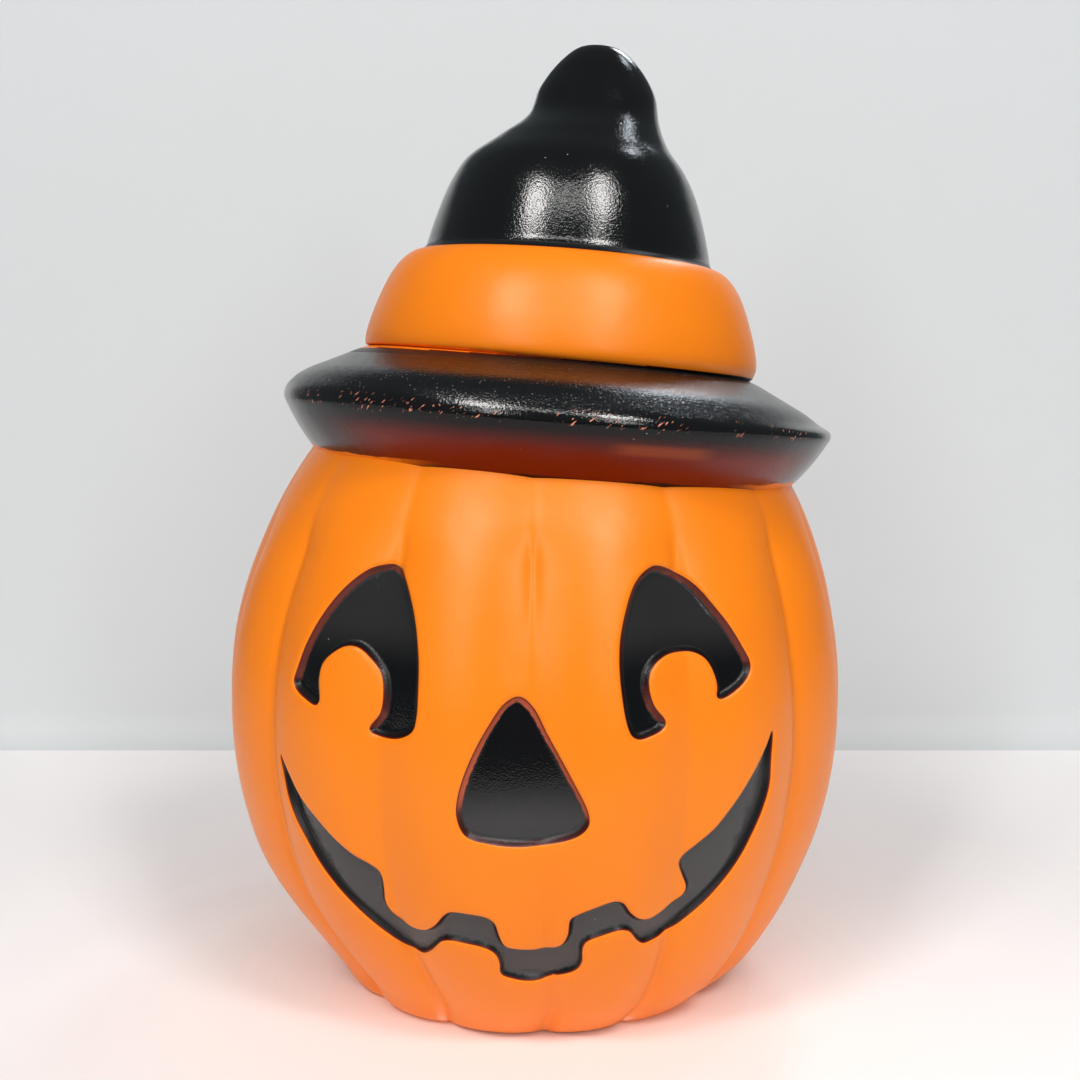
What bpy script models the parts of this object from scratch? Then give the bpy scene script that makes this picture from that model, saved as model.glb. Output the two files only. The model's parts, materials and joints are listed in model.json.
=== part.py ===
"""A blow moulded jack-o'-lantern lamp: a ribbed pumpkin wearing a tilted hat, lit by two cells and a small bulb.

Millimetres in the named sizes, metres in the meshes. The lamp stands on the
ring at z = 0, the face looks along -Y and the origin is the middle of the foot.
"""
from math import atan2, cos, hypot, pi, radians, sin

import bmesh
import bpy
from mathutils import Matrix, Vector

for leftover in list(bpy.data.objects):
    bpy.data.objects.remove(leftover, do_unlink=True)

MM = 0.001
GAP = 0.3                    # clearance between pieces that touch

# Pumpkin body
BODY_RADIUS = 71.9           # over the rib crests, at the widest height
BODY_EQUATOR = 65.5          # height of the widest place above the table
BODY_ROUNDNESS = 1.95        # 2 is a true ellipse
WALL = 2.0                   # moulded skin
RIB_COUNT = 14
RIB_DEPTH = 2.6              # from crest to crease
RIB_POWER = 2.4              # higher is a flatter rib with a tighter crease
CREASE_TOP_LEAN = -1.4       # degrees that the front crease wanders near the hat
CREASE_FOOT_LEAN = 2.6       # and near the foot

# Foot ring and the opening cut in it
FOOT_WIDTH = 4.6             # flat ring that stands on the table
FOOT_ROUND = 1.8             # rounding from the ring into the ribs
LIP_WIDTH = 3.4              # turned-in lip over the base tray
LIP_THICKNESS = 2.2
TAB_RADIUS = 4.2             # three tabs left on the lip for the screws
TAB_INSET = 1.8              # screw centre inside the lip's edge
TAB_ANGLES = (60, 120, 270)

# Hat
HAT_HEIGHT = 118.0           # where the brim meets the body, on the hat's axis
HAT_OFFSET = 3.9             # axis to the wearer's left of the body's axis
HAT_TILT = 4.4               # degrees, lower on the same side
SEAT_RADIUS = 56.7           # body radius where the brim meets it
BRIM_SINK = 2.6              # how far the brim's foot starts inside the body
BRIM_RADIUS = 63.9           # to the sharp corner, before it is rounded
BRIM_RIDGE = 14.4            # height of that corner above the seat
BRIM_ROUND = 3.4
BAND_RADIUS = 44.6
BAND_FOOT = 25.2             # height of the band's lower edge above the seat
BAND_LIP = 0.7               # the band's edge stands proud of the brim
BAND_HEIGHT = 24.4
BAND_TOP_RADIUS = 34.8
CROWN_RADIUS = 33.6
CROWN_HEIGHT = 48.2          # from the band's top to the tip
KNOB_SHIFT = 3.7             # the knob leans off the hat's axis

# Sunk face
RECESS_DEPTH = 1.4

# Corner points of the sunk shapes, seen from the front, as across and up.
# Each side may bow outward by the third value; the fourth rounds the corner.
EYE_LEFT = (
    (-27.9, 103.6, 1.5, 2.2), (-22.3, 79.0, 0.0, 0.0), (-22.3, 69.4, 0.2, 2.6),
    (-32.4, 70.4, -8.2, 1.0), (-42.9, 74.2, 0.0, 0.9), (-49.6, 76.3, 2.1, 2.6),
)
EYE_RIGHT = (
    (22.9, 103.6, 2.8, 2.2), (43.9, 80.7, 0.5, 3.0), (35.9, 76.0, -7.6, 0.8),
    (25.8, 72.4, 0.3, 1.2), (17.6, 69.9, 2.0, 2.8),
)
NOSE = (
    (-2.8, 80.6, 0.3, 3.6), (12.0, 51.6, 0.9, 5.2), (-15.9, 51.0, 1.2, 5.2),
)
MOUTH = (
    (-53.0, 62.6, -3.0, 0.8), (-31.0, 42.4, 0.0, 2.2), (-30.2, 32.8, 0.6, 2.4),
    (-21.9, 28.2, 0.0, 1.9), (-17.3, 34.8, 0.0, 1.6), (-8.1, 33.6, 0.0, 1.8),
    (-6.4, 26.0, 0.3, 2.0), (6.2, 26.6, 0.0, 2.0), (7.1, 34.0, 0.0, 1.4),
    (16.5, 37.6, 0.0, 2.0), (20.9, 31.3, 0.6, 2.0), (31.2, 37.0, 0.0, 2.0),
    (28.1, 44.4, -3.0, 1.4), (48.6, 68.6, 1.2, 0.8), (48.0, 56.6, 5.2, 1.4),
    (22.2, 25.0, 0.0, 2.0), (18.3, 30.6, 0.0, 1.6), (9.9, 27.5, 0.0, 1.6),
    (9.9, 19.6, 1.1, 3.0), (-6.9, 18.6, 0.0, 1.6), (-7.6, 25.8, 0.0, 1.6),
    (-17.8, 28.0, 0.0, 1.8), (-22.3, 22.4, 4.9, 2.0), (-52.0, 55.4, 0.6, 1.6),
)

# Cells and the battery box
CELL_DIAMETER = 14.5
CELL_LENGTH = 50.5
CELL_NUB_RADIUS = 2.7
CELL_NUB_LENGTH = 1.2
CELL_SPACING = 15.0
BOX_WALL = 1.6
BOX_CORNER = 1.3
PLATE = 0.4                  # sheet metal of the contacts
SPRING_LENGTH = 3.3
SPRING_WIRE = 0.4            # radius of the wire
SPRING_BASE_RADIUS = 4.6
SPRING_TOP_RADIUS = 2.6
SPRING_TURNS = 2.25
DIMPLE = 0.4                 # button pressed in the plate behind a cell's nub
DIMPLE_RADIUS = 2.4
CONTACT_HEIGHT = 11.2
CONTACT_SPLIT = 2.0          # between the two contacts that share a wall
SOLDER_TAB_WIDTH = 2.8
SOLDER_TAB_RISE = 3.4        # above the battery box

# Base tray and battery door
TRAY_RISE = 1.0              # tray underside above the table
TRAY_THICKNESS = 2.4
DOOR_THICKNESS = 1.6
DOOR_LEDGE = 1.2             # how far the door overlaps the box all round
HINGE_RADIUS = 1.2
HINGE_SPACE = 1.0            # between the door's edge and the hinge's barrel
HINGE_PIN = 0.7
HINGE_PIN_LENGTH = 2.4
HINGE_LENGTH = 38.0
LATCH_WIDTH = 8.0
LATCH_RISE = 2.2
SCREW_RADIUS = 1.3
SCREW_HEAD_RADIUS = 2.5
SCREW_HEAD = 1.1
SCREW_LENGTH = 6.4

# Slide switch
SWITCH_LENGTH = 14.0
SWITCH_WIDTH = 7.0
SWITCH_HEIGHT = 5.6
SWITCH_WALL = 1.0
SWITCH_TRAVEL = 4.0
KNOB_LENGTH = 4.0
KNOB_WIDTH = 3.0
KNOB_CLEAR = 0.5             # knob end above the table
KNOB_GRIP = 0.35             # depth of the grooves in the knob's end
FENCE_WALL = 1.2
TERMINAL_WIDTH = 1.8
TERMINAL_SHEET = 0.5
BRIDGE_WIDTH = 2.6
SLIDER_LENGTH = 6.6
SLIDER_HEIGHT = 2.6
TERMINAL_PITCH = 3.8         # the strip spans both only at the end of the travel
TERMINAL_RISE = 4.0

# Lamp
HOLDER_RADIUS = 7.2
HOLDER_BORE = 4.6
HOLDER_FLANGE = 3.0          # the foot flange stands this far out
HOLDER_WEB = 1.6             # floor under the socket
HOLDER_WINDOW = 5.0          # square window that lets the lead in
HOLDER_HEIGHT = 24.5         # from the battery box to the socket's rim
SPIGOT_HEIGHT = 3.0
SOCKET_RADIUS = 5.4
SOCKET_SHEET = 0.35
SOCKET_DEPTH = 8.0
CAP_SHEET = 0.35
CAP_HEIGHT = 8.4
GLASS_RADIUS = 5.7
GLASS_WALL = 0.6
GLASS_HEIGHT = 15.0          # above the cap
LAMP_WIRE = 0.25
LEAD_RADIUS = 0.6
LEAD_ARCH = 5.0              # how high a lead rises over its solder tab

ORANGE = (0.80, 0.20, 0.015)
BLACK = (0.012, 0.012, 0.013)
CHARCOAL = (0.07, 0.065, 0.06)


def material(name, colour, roughness, metallic=0.0):
    """Return the named Principled material, made once."""
    made = bpy.data.materials.get(name)
    if made is None:
        made = bpy.data.materials.new(name)
        made.use_nodes = True
        shader = made.node_tree.nodes["Principled BSDF"]
        shader.inputs["Base Color"].default_value = (*colour, 1.0)
        shader.inputs["Roughness"].default_value = roughness
        shader.inputs["Metallic"].default_value = metallic
        made.diffuse_color = (*colour, 1.0)
    return made


def node(name, form, look, origin=(0.0, 0.0, 0.0), cutter=False):
    """Turn a bmesh in millimetres into a named object whose origin is at the given place."""
    bmesh.ops.translate(form, verts=form.verts, vec=-Vector(origin))
    bmesh.ops.scale(form, verts=form.verts, vec=(MM, MM, MM))
    if form.calc_volume(signed=True) < 0:
        bmesh.ops.reverse_faces(form, faces=form.faces)
    mesh = bpy.data.meshes.new(name)
    form.to_mesh(mesh)
    form.free()
    made = bpy.data.objects.new(name, mesh)
    bpy.context.scene.collection.objects.link(made)
    made.location = Vector(origin) * MM
    mesh.materials.append(look)
    mesh.shade_smooth()
    mesh.set_sharp_from_angle(angle=radians(32))
    if cutter:
        made.hide_render = True
        made.display_type = "WIRE"
    return made


def shape(made, tool, operation="DIFFERENCE"):
    """Cut, join or intersect one object with another; the tool keeps its own look."""
    step = made.modifiers.new(operation.title(), "BOOLEAN")
    step.operation = operation
    step.solver = "EXACT"
    step.material_mode = "TRANSFER"
    step.object = tool
    tool.hide_render = True
    tool.display_type = "WIRE"
    return made


def skin(form, rings):
    """Join closed rings of equal length and fill the two ends."""
    loops = []
    for ring in rings:
        loops.append([form.verts.new(point) for point in ring])
    for low, high in zip(loops, loops[1:]):
        count = len(low)
        for i in range(count):
            j = (i + 1) % count
            form.faces.new((low[i], low[j], high[j], high[i]))
    form.faces.new(list(reversed(loops[0])))
    form.faces.new(loops[-1])
    return form


def ring(radius, height, sides, centre=(0.0, 0.0)):
    """Points of a level circle."""
    points = []
    for i in range(sides):
        angle = 2 * pi * i / sides
        points.append((centre[0] + radius * cos(angle), centre[1] + radius * sin(angle), height))
    return points


def turned(profile, sides, centre=(0.0, 0.0)):
    """A solid of revolution from (radius, height) pairs, closed at both ends."""
    return skin(bmesh.new(), [ring(radius, height, sides, centre) for radius, height in profile])


def tube_wall(outer, inner, sides, centre=(0.0, 0.0)):
    """A turned wall that is open at both ends, from its outer and its inner profile."""
    form = bmesh.new()
    path = list(outer) + list(reversed(inner))
    loops = [[form.verts.new(p) for p in ring(r, z, sides, centre)] for r, z in path]
    for k in range(len(loops)):
        low, high = loops[k], loops[(k + 1) % len(loops)]
        for i in range(sides):
            j = (i + 1) % sides
            form.faces.new((low[i], low[j], high[j], high[i]))
    return form


def block(low, high, corner=0.0):
    """A box between two opposite corners, its upright edges cut by `corner`."""
    x0, y0, z0 = low
    x1, y1, z1 = high
    if corner:
        plan = ((x0 + corner, y0), (x1 - corner, y0), (x1, y0 + corner), (x1, y1 - corner),
                (x1 - corner, y1), (x0 + corner, y1), (x0, y1 - corner), (x0, y0 + corner))
    else:
        plan = ((x0, y0), (x1, y0), (x1, y1), (x0, y1))
    return skin(bmesh.new(), [[(x, y, z) for x, y in plan] for z in (z0, z1)])


def sideways(form, start, axis):
    """Swing a shape turned about +Z so that it points along `axis` from `start`."""
    swing = Vector((0, 0, 1)).rotation_difference(Vector(axis)).to_matrix().to_4x4()
    bmesh.ops.transform(form, matrix=Matrix.Translation(Vector(start)) @ swing, verts=form.verts)
    return form


def cutter(name, form):
    """A hidden tool for the cuts and joins."""
    return node(name, form, material("tool", (0.5, 0.5, 0.5), 0.6), cutter=True)


def cable(name, points, radius, look, sides_level=1):
    """A wire of round section through the given points."""
    curve = bpy.data.curves.new(name, "CURVE")
    curve.dimensions = "3D"
    curve.bevel_depth = radius * MM
    curve.bevel_resolution = sides_level
    curve.use_fill_caps = True
    path = curve.splines.new("POLY")
    path.points.add(len(points) - 1)
    for knot, point in zip(path.points, points):
        knot.co = (*(Vector(point) * MM), 1.0)
    made = bpy.data.objects.new(name, curve)
    bpy.context.scene.collection.objects.link(made)
    curve.materials.append(look)
    return made


def flowing(keys, steps):
    """A smooth curve through the keys, as many steps between each pair."""
    keys = [Vector(key) for key in keys]
    ends = [2 * keys[0] - keys[1]] + keys + [2 * keys[-1] - keys[-2]]
    points = []
    for a, b, c, d in zip(ends, ends[1:], ends[2:], ends[3:]):
        for i in range(steps):
            t = i / steps
            points.append(0.5 * (2 * b + (c - a) * t + (2 * a - 5 * b + 4 * c - d) * t ** 2
                                 + (3 * b - a - 3 * c + d) * t ** 3))
    points.append(keys[-1])
    return points


# Battery box sizes, which the foot's opening is made for
cell_radius = CELL_DIAMETER / 2
tray_top = TRAY_RISE + TRAY_THICKNESS
door_top = TRAY_RISE + DOOR_THICKNESS
cell_bottom = door_top + GAP
cell_axis = cell_bottom + cell_radius
bay_half_width = CELL_SPACING / 2 + cell_radius + GAP
bay_half_length = (CELL_LENGTH + SPRING_LENGTH + DIMPLE) / 2 + GAP + PLATE + GAP
bay_top = cell_axis + cell_radius + GAP
box_half_width = bay_half_width + BOX_WALL
box_half_length = bay_half_length + BOX_WALL
box_top = bay_top + BOX_WALL
box_reach = max(hypot(box_half_length, box_half_width - BOX_CORNER),
                hypot(box_half_length - BOX_CORNER, box_half_width))

# Foot and lip, outward from the battery box
lip_radius = box_reach + GAP
recess_radius = lip_radius + LIP_WIDTH
foot_radius = recess_radius + FOOT_WIDTH
tray_radius = recess_radius - GAP
lip_bottom = tray_top + GAP
lip_top = lip_bottom + LIP_THICKNESS

# Body curve through the foot, the widest place and the hat's seat
squareness = 1 / BODY_ROUNDNESS
foot_share = (foot_radius + FOOT_ROUND) / BODY_RADIUS
seat_share = SEAT_RADIUS / BODY_RADIUS
body_drop = BODY_EQUATOR / (1 - foot_share ** BODY_ROUNDNESS) ** squareness
body_rise = (HAT_HEIGHT - BODY_EQUATOR) / (1 - seat_share ** BODY_ROUNDNESS) ** squareness
body_top = HAT_HEIGHT + BRIM_RIDGE


def body_radius(height, inset=0.0):
    """Radius over the rib crests at a height, or that of the parallel surface inside it."""
    reach = (body_rise if height > BODY_EQUATOR else body_drop) - inset
    level = min(abs(height - BODY_EQUATOR) / reach, 1.0)
    return (BODY_RADIUS - inset) * (1 - level ** BODY_ROUNDNESS) ** squareness


def crease_lean(height):
    """Degrees that the front crease stands off the middle at a height."""
    share = height / HAT_HEIGHT
    return CREASE_FOOT_LEAN + (CREASE_TOP_LEAN - CREASE_FOOT_LEAN) * share


def ribbed_ring(height, radius, depth, marks):
    """A ring with the ribs pressed in it; `marks` are the places across each rib."""
    pitch = 360 / RIB_COUNT
    points = []
    for rib in range(RIB_COUNT):
        for mark in marks:
            turn = (rib + mark) * pitch
            off_front = min(turn, 360 - turn) / pitch
            turn += crease_lean(height) * max(0.0, 1 - off_front)
            drop = depth * abs(2 * mark - 1) ** RIB_POWER
            angle = radians(turn - 90)
            points.append(((radius - drop) * cos(angle), (radius - drop) * sin(angle), height))
    return points


def body_form(inset, bottom, below, above, marks):
    """The ribbed body, or the surface parallel to it, with rows below and above its widest place."""
    levels = []
    if bottom <= 0:
        levels.append((0.0, foot_radius, 0.0))
        levels.append((0.3 * FOOT_ROUND, foot_radius + 0.75 * FOOT_ROUND, 0.5 * RIB_DEPTH))
        bottom = FOOT_ROUND
    for end, reach, rows in ((bottom, body_drop, below), (body_top, body_rise, above)):
        part = []
        for i in range(rows + 1):
            share = i / rows
            height = BODY_EQUATOR + (end - BODY_EQUATOR) * share
            bend = sin(pi / 2 * share * (end - BODY_EQUATOR) / reach) * reach
            if 0 < i < rows:
                height = 0.5 * (height + BODY_EQUATOR + bend)
            part.append((height, body_radius(height, inset), RIB_DEPTH))
        levels += list(reversed(part)) if end == bottom else part[1:]
    return skin(bmesh.new(), [ribbed_ring(z, r, depth, marks) for z, r, depth in levels])


crown_foot = BAND_FOOT + BAND_HEIGHT


def hat_profile(inset=0.0):
    """The hat's outline as radius, height and sideways shift, from its foot to its tip."""
    foot = SEAT_RADIUS - BRIM_SINK
    sharp = [
        (foot - 8.0, -9.0, 0.0), (foot, -1.2, 0.0), (BRIM_RADIUS, BRIM_RIDGE, 0.0),
        (BAND_RADIUS, BAND_FOOT - 0.4, 0.0),
    ]
    band = [
        (BAND_RADIUS, BAND_FOOT, 0.0), (BAND_RADIUS - 0.6, BAND_FOOT + 0.28 * BAND_HEIGHT, 0.0),
        (BAND_RADIUS - 2.9, BAND_FOOT + 0.58 * BAND_HEIGHT, 0.0),
        (BAND_RADIUS - 6.2, BAND_FOOT + 0.85 * BAND_HEIGHT, 0.0), (BAND_TOP_RADIUS, crown_foot, 0.0),
    ]
    crown = [
        (1.000, 0.000, 0.0), (0.935, 0.170, 0.0), (0.845, 0.345, 0.0), (0.720, 0.450, 0.1),
        (0.570, 0.560, 0.5), (0.458, 0.665, 0.95), (0.408, 0.785, 1.0), (0.290, 0.905, 1.0),
        (0.150, 0.980, 0.95),
    ]
    crown = [(CROWN_RADIUS * r, crown_foot + CROWN_HEIGHT * z, KNOB_SHIFT * s) for r, z, s in crown]
    if inset:
        path = sharp[:3] + band[:1] + band[2:] + crown[1::2]
        moved = []
        for i, (r, z, s) in enumerate(path):
            before = Vector(path[max(i - 1, 0)][:2])
            after = Vector(path[min(i + 1, len(path) - 1)][:2])
            here = Vector((r, z))
            one = (here - before).normalized() if i else (after - here).normalized()
            two = (after - here).normalized() if i < len(path) - 1 else one
            side = Vector((-one.y - two.y, one.x + two.x)).normalized()
            reach = inset / max(0.45, side.dot(Vector((-one.y, one.x))))
            moved.append((max(r + side.x * reach, 0.6), z + side.y * reach, s))
        return moved
    ridge = []
    for share in (-1.0, -0.35, 0.35, 1.0):
        before, here, after = (Vector(sharp[i][:2]) for i in (1, 2, 3))
        toward = before if share < 0 else after
        point = here + (toward - here).normalized() * BRIM_ROUND * abs(share)
        inward = ((before - here).normalized() + (after - here).normalized()).normalized()
        point += inward * BRIM_ROUND * 0.35 * (1 - abs(share))
        ridge.append((point.x, point.y, 0.0))
    lip = [(BAND_RADIUS + BAND_LIP, BAND_FOOT, 0.0), (BAND_RADIUS + BAND_LIP * 0.8, BAND_FOOT + 1.2, 0.0)]
    shoulder = lip[1:] + band[1:]
    top = [tuple(p) for p in flowing(crown, 2)]
    tip = [(0.07 * CROWN_RADIUS, crown_foot + CROWN_HEIGHT, 0.9 * KNOB_SHIFT)]
    return sharp[:2] + ridge + sharp[3:] + lip[:1] + shoulder + top + tip


def hat_form(profile, sides):
    """Rings of the hat, each level ring then tilted with the hat."""
    form = skin(bmesh.new(), [ring(r, z, sides, (shift, 0.0)) for r, z, shift in profile])
    tilt = Matrix.Rotation(radians(HAT_TILT), 4, "Y")
    place = Matrix.Translation((HAT_OFFSET, 0.0, HAT_HEIGHT))
    bmesh.ops.transform(form, matrix=place @ tilt, verts=form.verts)
    return form


def bow(start, end, rise, share):
    """A point on the arc between two corners that bows to the left of its run by `rise`."""
    run = end - start
    side = Vector((-run.y, run.x)).normalized()
    if abs(rise) < 0.05:
        return start + run * share
    half = run.length / 2
    radius = (half ** 2 + rise ** 2) / (2 * rise)
    centre = start + run / 2 + side * (rise - radius)
    first = atan2(start.y - centre.y, start.x - centre.x)
    last = atan2(end.y - centre.y, end.x - centre.x)
    sweep = (last - first + pi) % (2 * pi) - pi
    if abs(rise) > half:
        sweep -= 2 * pi if sweep > 0 else -2 * pi
    turn = first + sweep * share
    return centre + Vector((cos(turn), sin(turn))) * abs(radius)


def outline(corners, spacing=6.0):
    """A closed outline from clockwise corners with bowed sides and rounded corners."""
    points = []
    count = len(corners)
    for i in range(count):
        x, y, rise, rounding = corners[i]
        here = Vector((x, y))
        there = Vector(corners[(i + 1) % count][:2])
        before = Vector(corners[i - 1][:2])
        length = (there - here).length
        first = min(rounding / length, 0.45)
        last = 1 - min(corners[(i + 1) % count][3] / length, 0.45)
        if rounding:
            back_length = (here - before).length
            enter = bow(before, here, corners[i - 1][2], 1 - min(rounding / back_length, 0.45))
            leave = bow(here, there, rise, first)
            points.append(enter.lerp(here, 0.5).lerp(here.lerp(leave, 0.5), 0.5))
        steps = max(1, round(length / spacing)) if abs(rise) > 0.05 else 1
        for k in range(steps + 1):
            point = bow(here, there, rise, first + (last - first) * k / steps)
            if not points or (point - points[-1]).length > 0.1:
                points.append(point)
    if (points[0] - points[-1]).length < 0.1:
        points.pop()
    return points


def grown(corners, margin):
    """The same corners moved outward by a margin, with square corners."""
    moved = []
    count = len(corners)
    for i in range(count):
        here = Vector(corners[i][:2])
        one = (here - Vector(corners[i - 1][:2])).normalized()
        two = (Vector(corners[(i + 1) % count][:2]) - here).normalized()
        side = Vector((-one.y - two.y, one.x + two.x)).normalized()
        reach = margin / max(0.5, side.dot(Vector((-one.y, one.x))))
        place = here + side * reach
        moved.append((place.x, place.y, corners[i][2], 0.0))
    return moved


def prism(points, front, back):
    """A face outline pushed straight back from before the body."""
    return skin(bmesh.new(), [[(p.x, y, p.y) for p in points] for y in (front, back)])


orange = material("orange_plastic", ORANGE, 0.38)
black = material("black_paint", BLACK, 0.16)
charcoal = material("mouth_paint", CHARCOAL, 0.32)

# Shell: the ribbed body and the hat, hollow, with the face sunk in its front
fine_marks = (0.0, 0.09, 0.27, 0.5, 0.73, 0.91)
plain_marks = (0.0, 0.2, 0.5, 0.8)
shell = node("shell", body_form(0.0, 0.0, 7, 6, fine_marks), orange)
hat = node("hat_tool", hat_form(hat_profile(), 36), black, cutter=True)
hat.data.materials.append(orange)
for face in hat.data.polygons:
    spot = Matrix.Rotation(radians(-HAT_TILT), 4, "Y") @ (face.center / MM - Vector((HAT_OFFSET, 0, HAT_HEIGHT)))
    if BAND_FOOT - 0.1 < spot.z < crown_foot - 0.1:
        face.material_index = 1
shape(shell, hat, "UNION")

face_floor = cutter("face_floor", body_form(RECESS_DEPTH, FOOT_ROUND + 1, 7, 6, fine_marks))
pad_face = cutter("pad_face", body_form(WALL + RECESS_DEPTH, lip_top, 5, 4, plain_marks))
hollow = cutter("hollow", body_form(WALL, lip_top, 5, 4, plain_marks))
hat_hollow = cutter("hat_hollow", hat_form(hat_profile(WALL), 20))
shape(hollow, hat_hollow, "UNION")
face_front = -BODY_RADIUS - 20
face_back = -0.3 * BODY_RADIUS
for feature, corners, paint in (
        ("eye_left", EYE_LEFT, black), ("eye_right", EYE_RIGHT, black),
        ("nose", NOSE, black), ("mouth", MOUTH, charcoal)):
    sunk = node(feature + "_cut", prism(outline(corners), face_front, face_back), paint, cutter=True)
    shape(sunk, face_floor)
    shape(shell, sunk)
    pad = cutter(feature + "_pad", prism(outline(grown(corners, 1.2), 9.0), face_front, face_back))
    shape(pad, pad_face)
    shape(hollow, pad)
shape(shell, hollow)

screw_ring = lip_radius - TAB_INSET
screw_spots = [(screw_ring * cos(radians(a)), screw_ring * sin(radians(a))) for a in TAB_ANGLES]
opening = cutter("opening", turned(((lip_radius, -1.0), (lip_radius, lip_top + 1.0)), 48))
for number, spot in enumerate(screw_spots, 1):
    tab = cutter("tab_%d" % number, turned(((TAB_RADIUS, -2.0), (TAB_RADIUS, lip_top + 2.0)), 20, spot))
    shape(opening, tab)
shape(shell, opening)
shape(shell, cutter("tray_seat", turned(((recess_radius, -1.0), (recess_radius, lip_bottom)), 48)))
for number, spot in enumerate(screw_spots, 1):
    pilot = turned(((SCREW_RADIUS + GAP, 0.0), (SCREW_RADIUS + GAP, lip_top + 1.0)), 14, spot)
    shape(shell, cutter("pilot_%d" % number, pilot))

# Base tray with the battery box, the door's hinge cheeks and the switch well
tray_look = material("tray_plastic", (0.03, 0.03, 0.032), 0.45)
tray = node("base_tray", turned(((tray_radius, TRAY_RISE), (tray_radius, tray_top)), 48), tray_look)
box_low = (-box_half_length, -box_half_width, TRAY_RISE + 0.5)
box_high = (box_half_length, box_half_width, box_top)
shape(tray, cutter("box_body", block(box_low, box_high, corner=BOX_CORNER)), "UNION")
door_half_length = bay_half_length + DOOR_LEDGE
door_half_width = bay_half_width + DOOR_LEDGE
hinge_y = -(door_half_width + HINGE_SPACE + HINGE_RADIUS)
hinge_z = door_top - GAP
hood_half = HINGE_LENGTH / 2 + HINGE_PIN_LENGTH + BOX_WALL
hood_top = hinge_z + HINGE_RADIUS + GAP + BOX_WALL
hood_front = hinge_y - HINGE_RADIUS - GAP - BOX_WALL
hood = block((-hood_half, hood_front, TRAY_RISE + 0.5), (hood_half, -box_half_width + 0.5, hood_top))
shape(tray, cutter("hinge_hood", hood), "UNION")

switch_y = box_half_width + BOX_WALL + FENCE_WALL + GAP + SWITCH_WIDTH / 2
well_x = SWITCH_LENGTH / 2 + GAP
well_y = SWITCH_WIDTH / 2 + GAP
well_top = tray_top + GAP + 0.6 * SWITCH_HEIGHT
hook_bottom = tray_top + GAP + SWITCH_HEIGHT + GAP
fence = block((-well_x - BOX_WALL, switch_y - well_y - FENCE_WALL, TRAY_RISE + 0.5),
              (well_x + BOX_WALL, switch_y + well_y + FENCE_WALL, well_top))
shape(tray, cutter("switch_fence", fence), "UNION")
for side in (-1, 1):
    inner, outer = sorted((side * (well_x - 0.9), side * (well_x + BOX_WALL)))
    finger = block((inner, switch_y - 1.6, TRAY_RISE + 0.5), (outer, switch_y + 1.6, hook_bottom + 1.2))
    shape(tray, cutter("switch_finger_%d" % (side + 1), finger), "UNION")
well = block((-well_x, switch_y - well_y, tray_top), (well_x, switch_y + well_y, hook_bottom))
shape(tray, cutter("switch_well", well))
spigot_radius = HOLDER_BORE - GAP
spigot = turned(((spigot_radius, box_top - 0.5), (spigot_radius, box_top + SPIGOT_HEIGHT)), 20)
shape(tray, cutter("lamp_spigot", spigot), "UNION")

rebate = block((-door_half_length - GAP, -door_half_width - GAP, 0.0),
               (door_half_length + GAP, door_half_width + GAP, cell_bottom))
shape(tray, cutter("door_rebate", rebate))
edge_reach = HINGE_SPACE + HINGE_RADIUS
edge_drop = hinge_z - TRAY_RISE
swing_y = hinge_y + (edge_reach ** 2 - edge_drop ** 2) ** 0.5 - GAP
swing = block((-door_half_length - GAP, swing_y, 0.0), (door_half_length + GAP, 0.0, hinge_z))
shape(tray, cutter("door_swing", swing))
bay = block((-bay_half_length, -bay_half_width, 0.2), (bay_half_length, bay_half_width, bay_top))
shape(tray, cutter("battery_bay", bay))
barrel_half = HINGE_LENGTH / 2 + GAP
swing_room = hinge_z - TRAY_RISE + GAP
notch = block((-barrel_half, hinge_y - max(swing_room, HINGE_RADIUS + GAP), 0.0),
              (barrel_half, -door_half_width - GAP, hinge_z + HINGE_RADIUS + GAP))
shape(tray, cutter("hinge_notch", notch))
pin_half = HINGE_LENGTH / 2 + HINGE_PIN_LENGTH
pin_hole = turned(((HINGE_PIN + GAP, -pin_half - GAP), (HINGE_PIN + GAP, pin_half + GAP)), 14)
shape(tray, cutter("pin_hole", sideways(pin_hole, (0.0, hinge_y, hinge_z), (1, 0, 0))))
latch_y = door_half_width - 1.4
latch_top = door_top + LATCH_RISE
latch_slot = block((-LATCH_WIDTH / 2 - GAP, latch_y - GAP, 0.5),
                   (LATCH_WIDTH / 2 + GAP, door_half_width + GAP, latch_top + GAP))
shape(tray, cutter("latch_slot", latch_slot))
knob_slot = block((-(KNOB_LENGTH + SWITCH_TRAVEL) / 2 - GAP, switch_y - KNOB_WIDTH / 2 - GAP, 0.0),
                  ((KNOB_LENGTH + SWITCH_TRAVEL) / 2 + GAP, switch_y + KNOB_WIDTH / 2 + GAP, tray_top + 1.0))
shape(tray, cutter("knob_slot", knob_slot))
head_top = TRAY_RISE + 0.2 + SCREW_HEAD
for number, spot in enumerate(screw_spots, 1):
    hole = turned(((SCREW_HEAD_RADIUS + GAP, 0.0), (SCREW_HEAD_RADIUS + GAP, head_top + GAP),
                   (SCREW_RADIUS + GAP, head_top + GAP), (SCREW_RADIUS + GAP, tray_top + 1.0)), 14, spot)
    shape(tray, cutter("screw_hole_%d" % number, hole))

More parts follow.
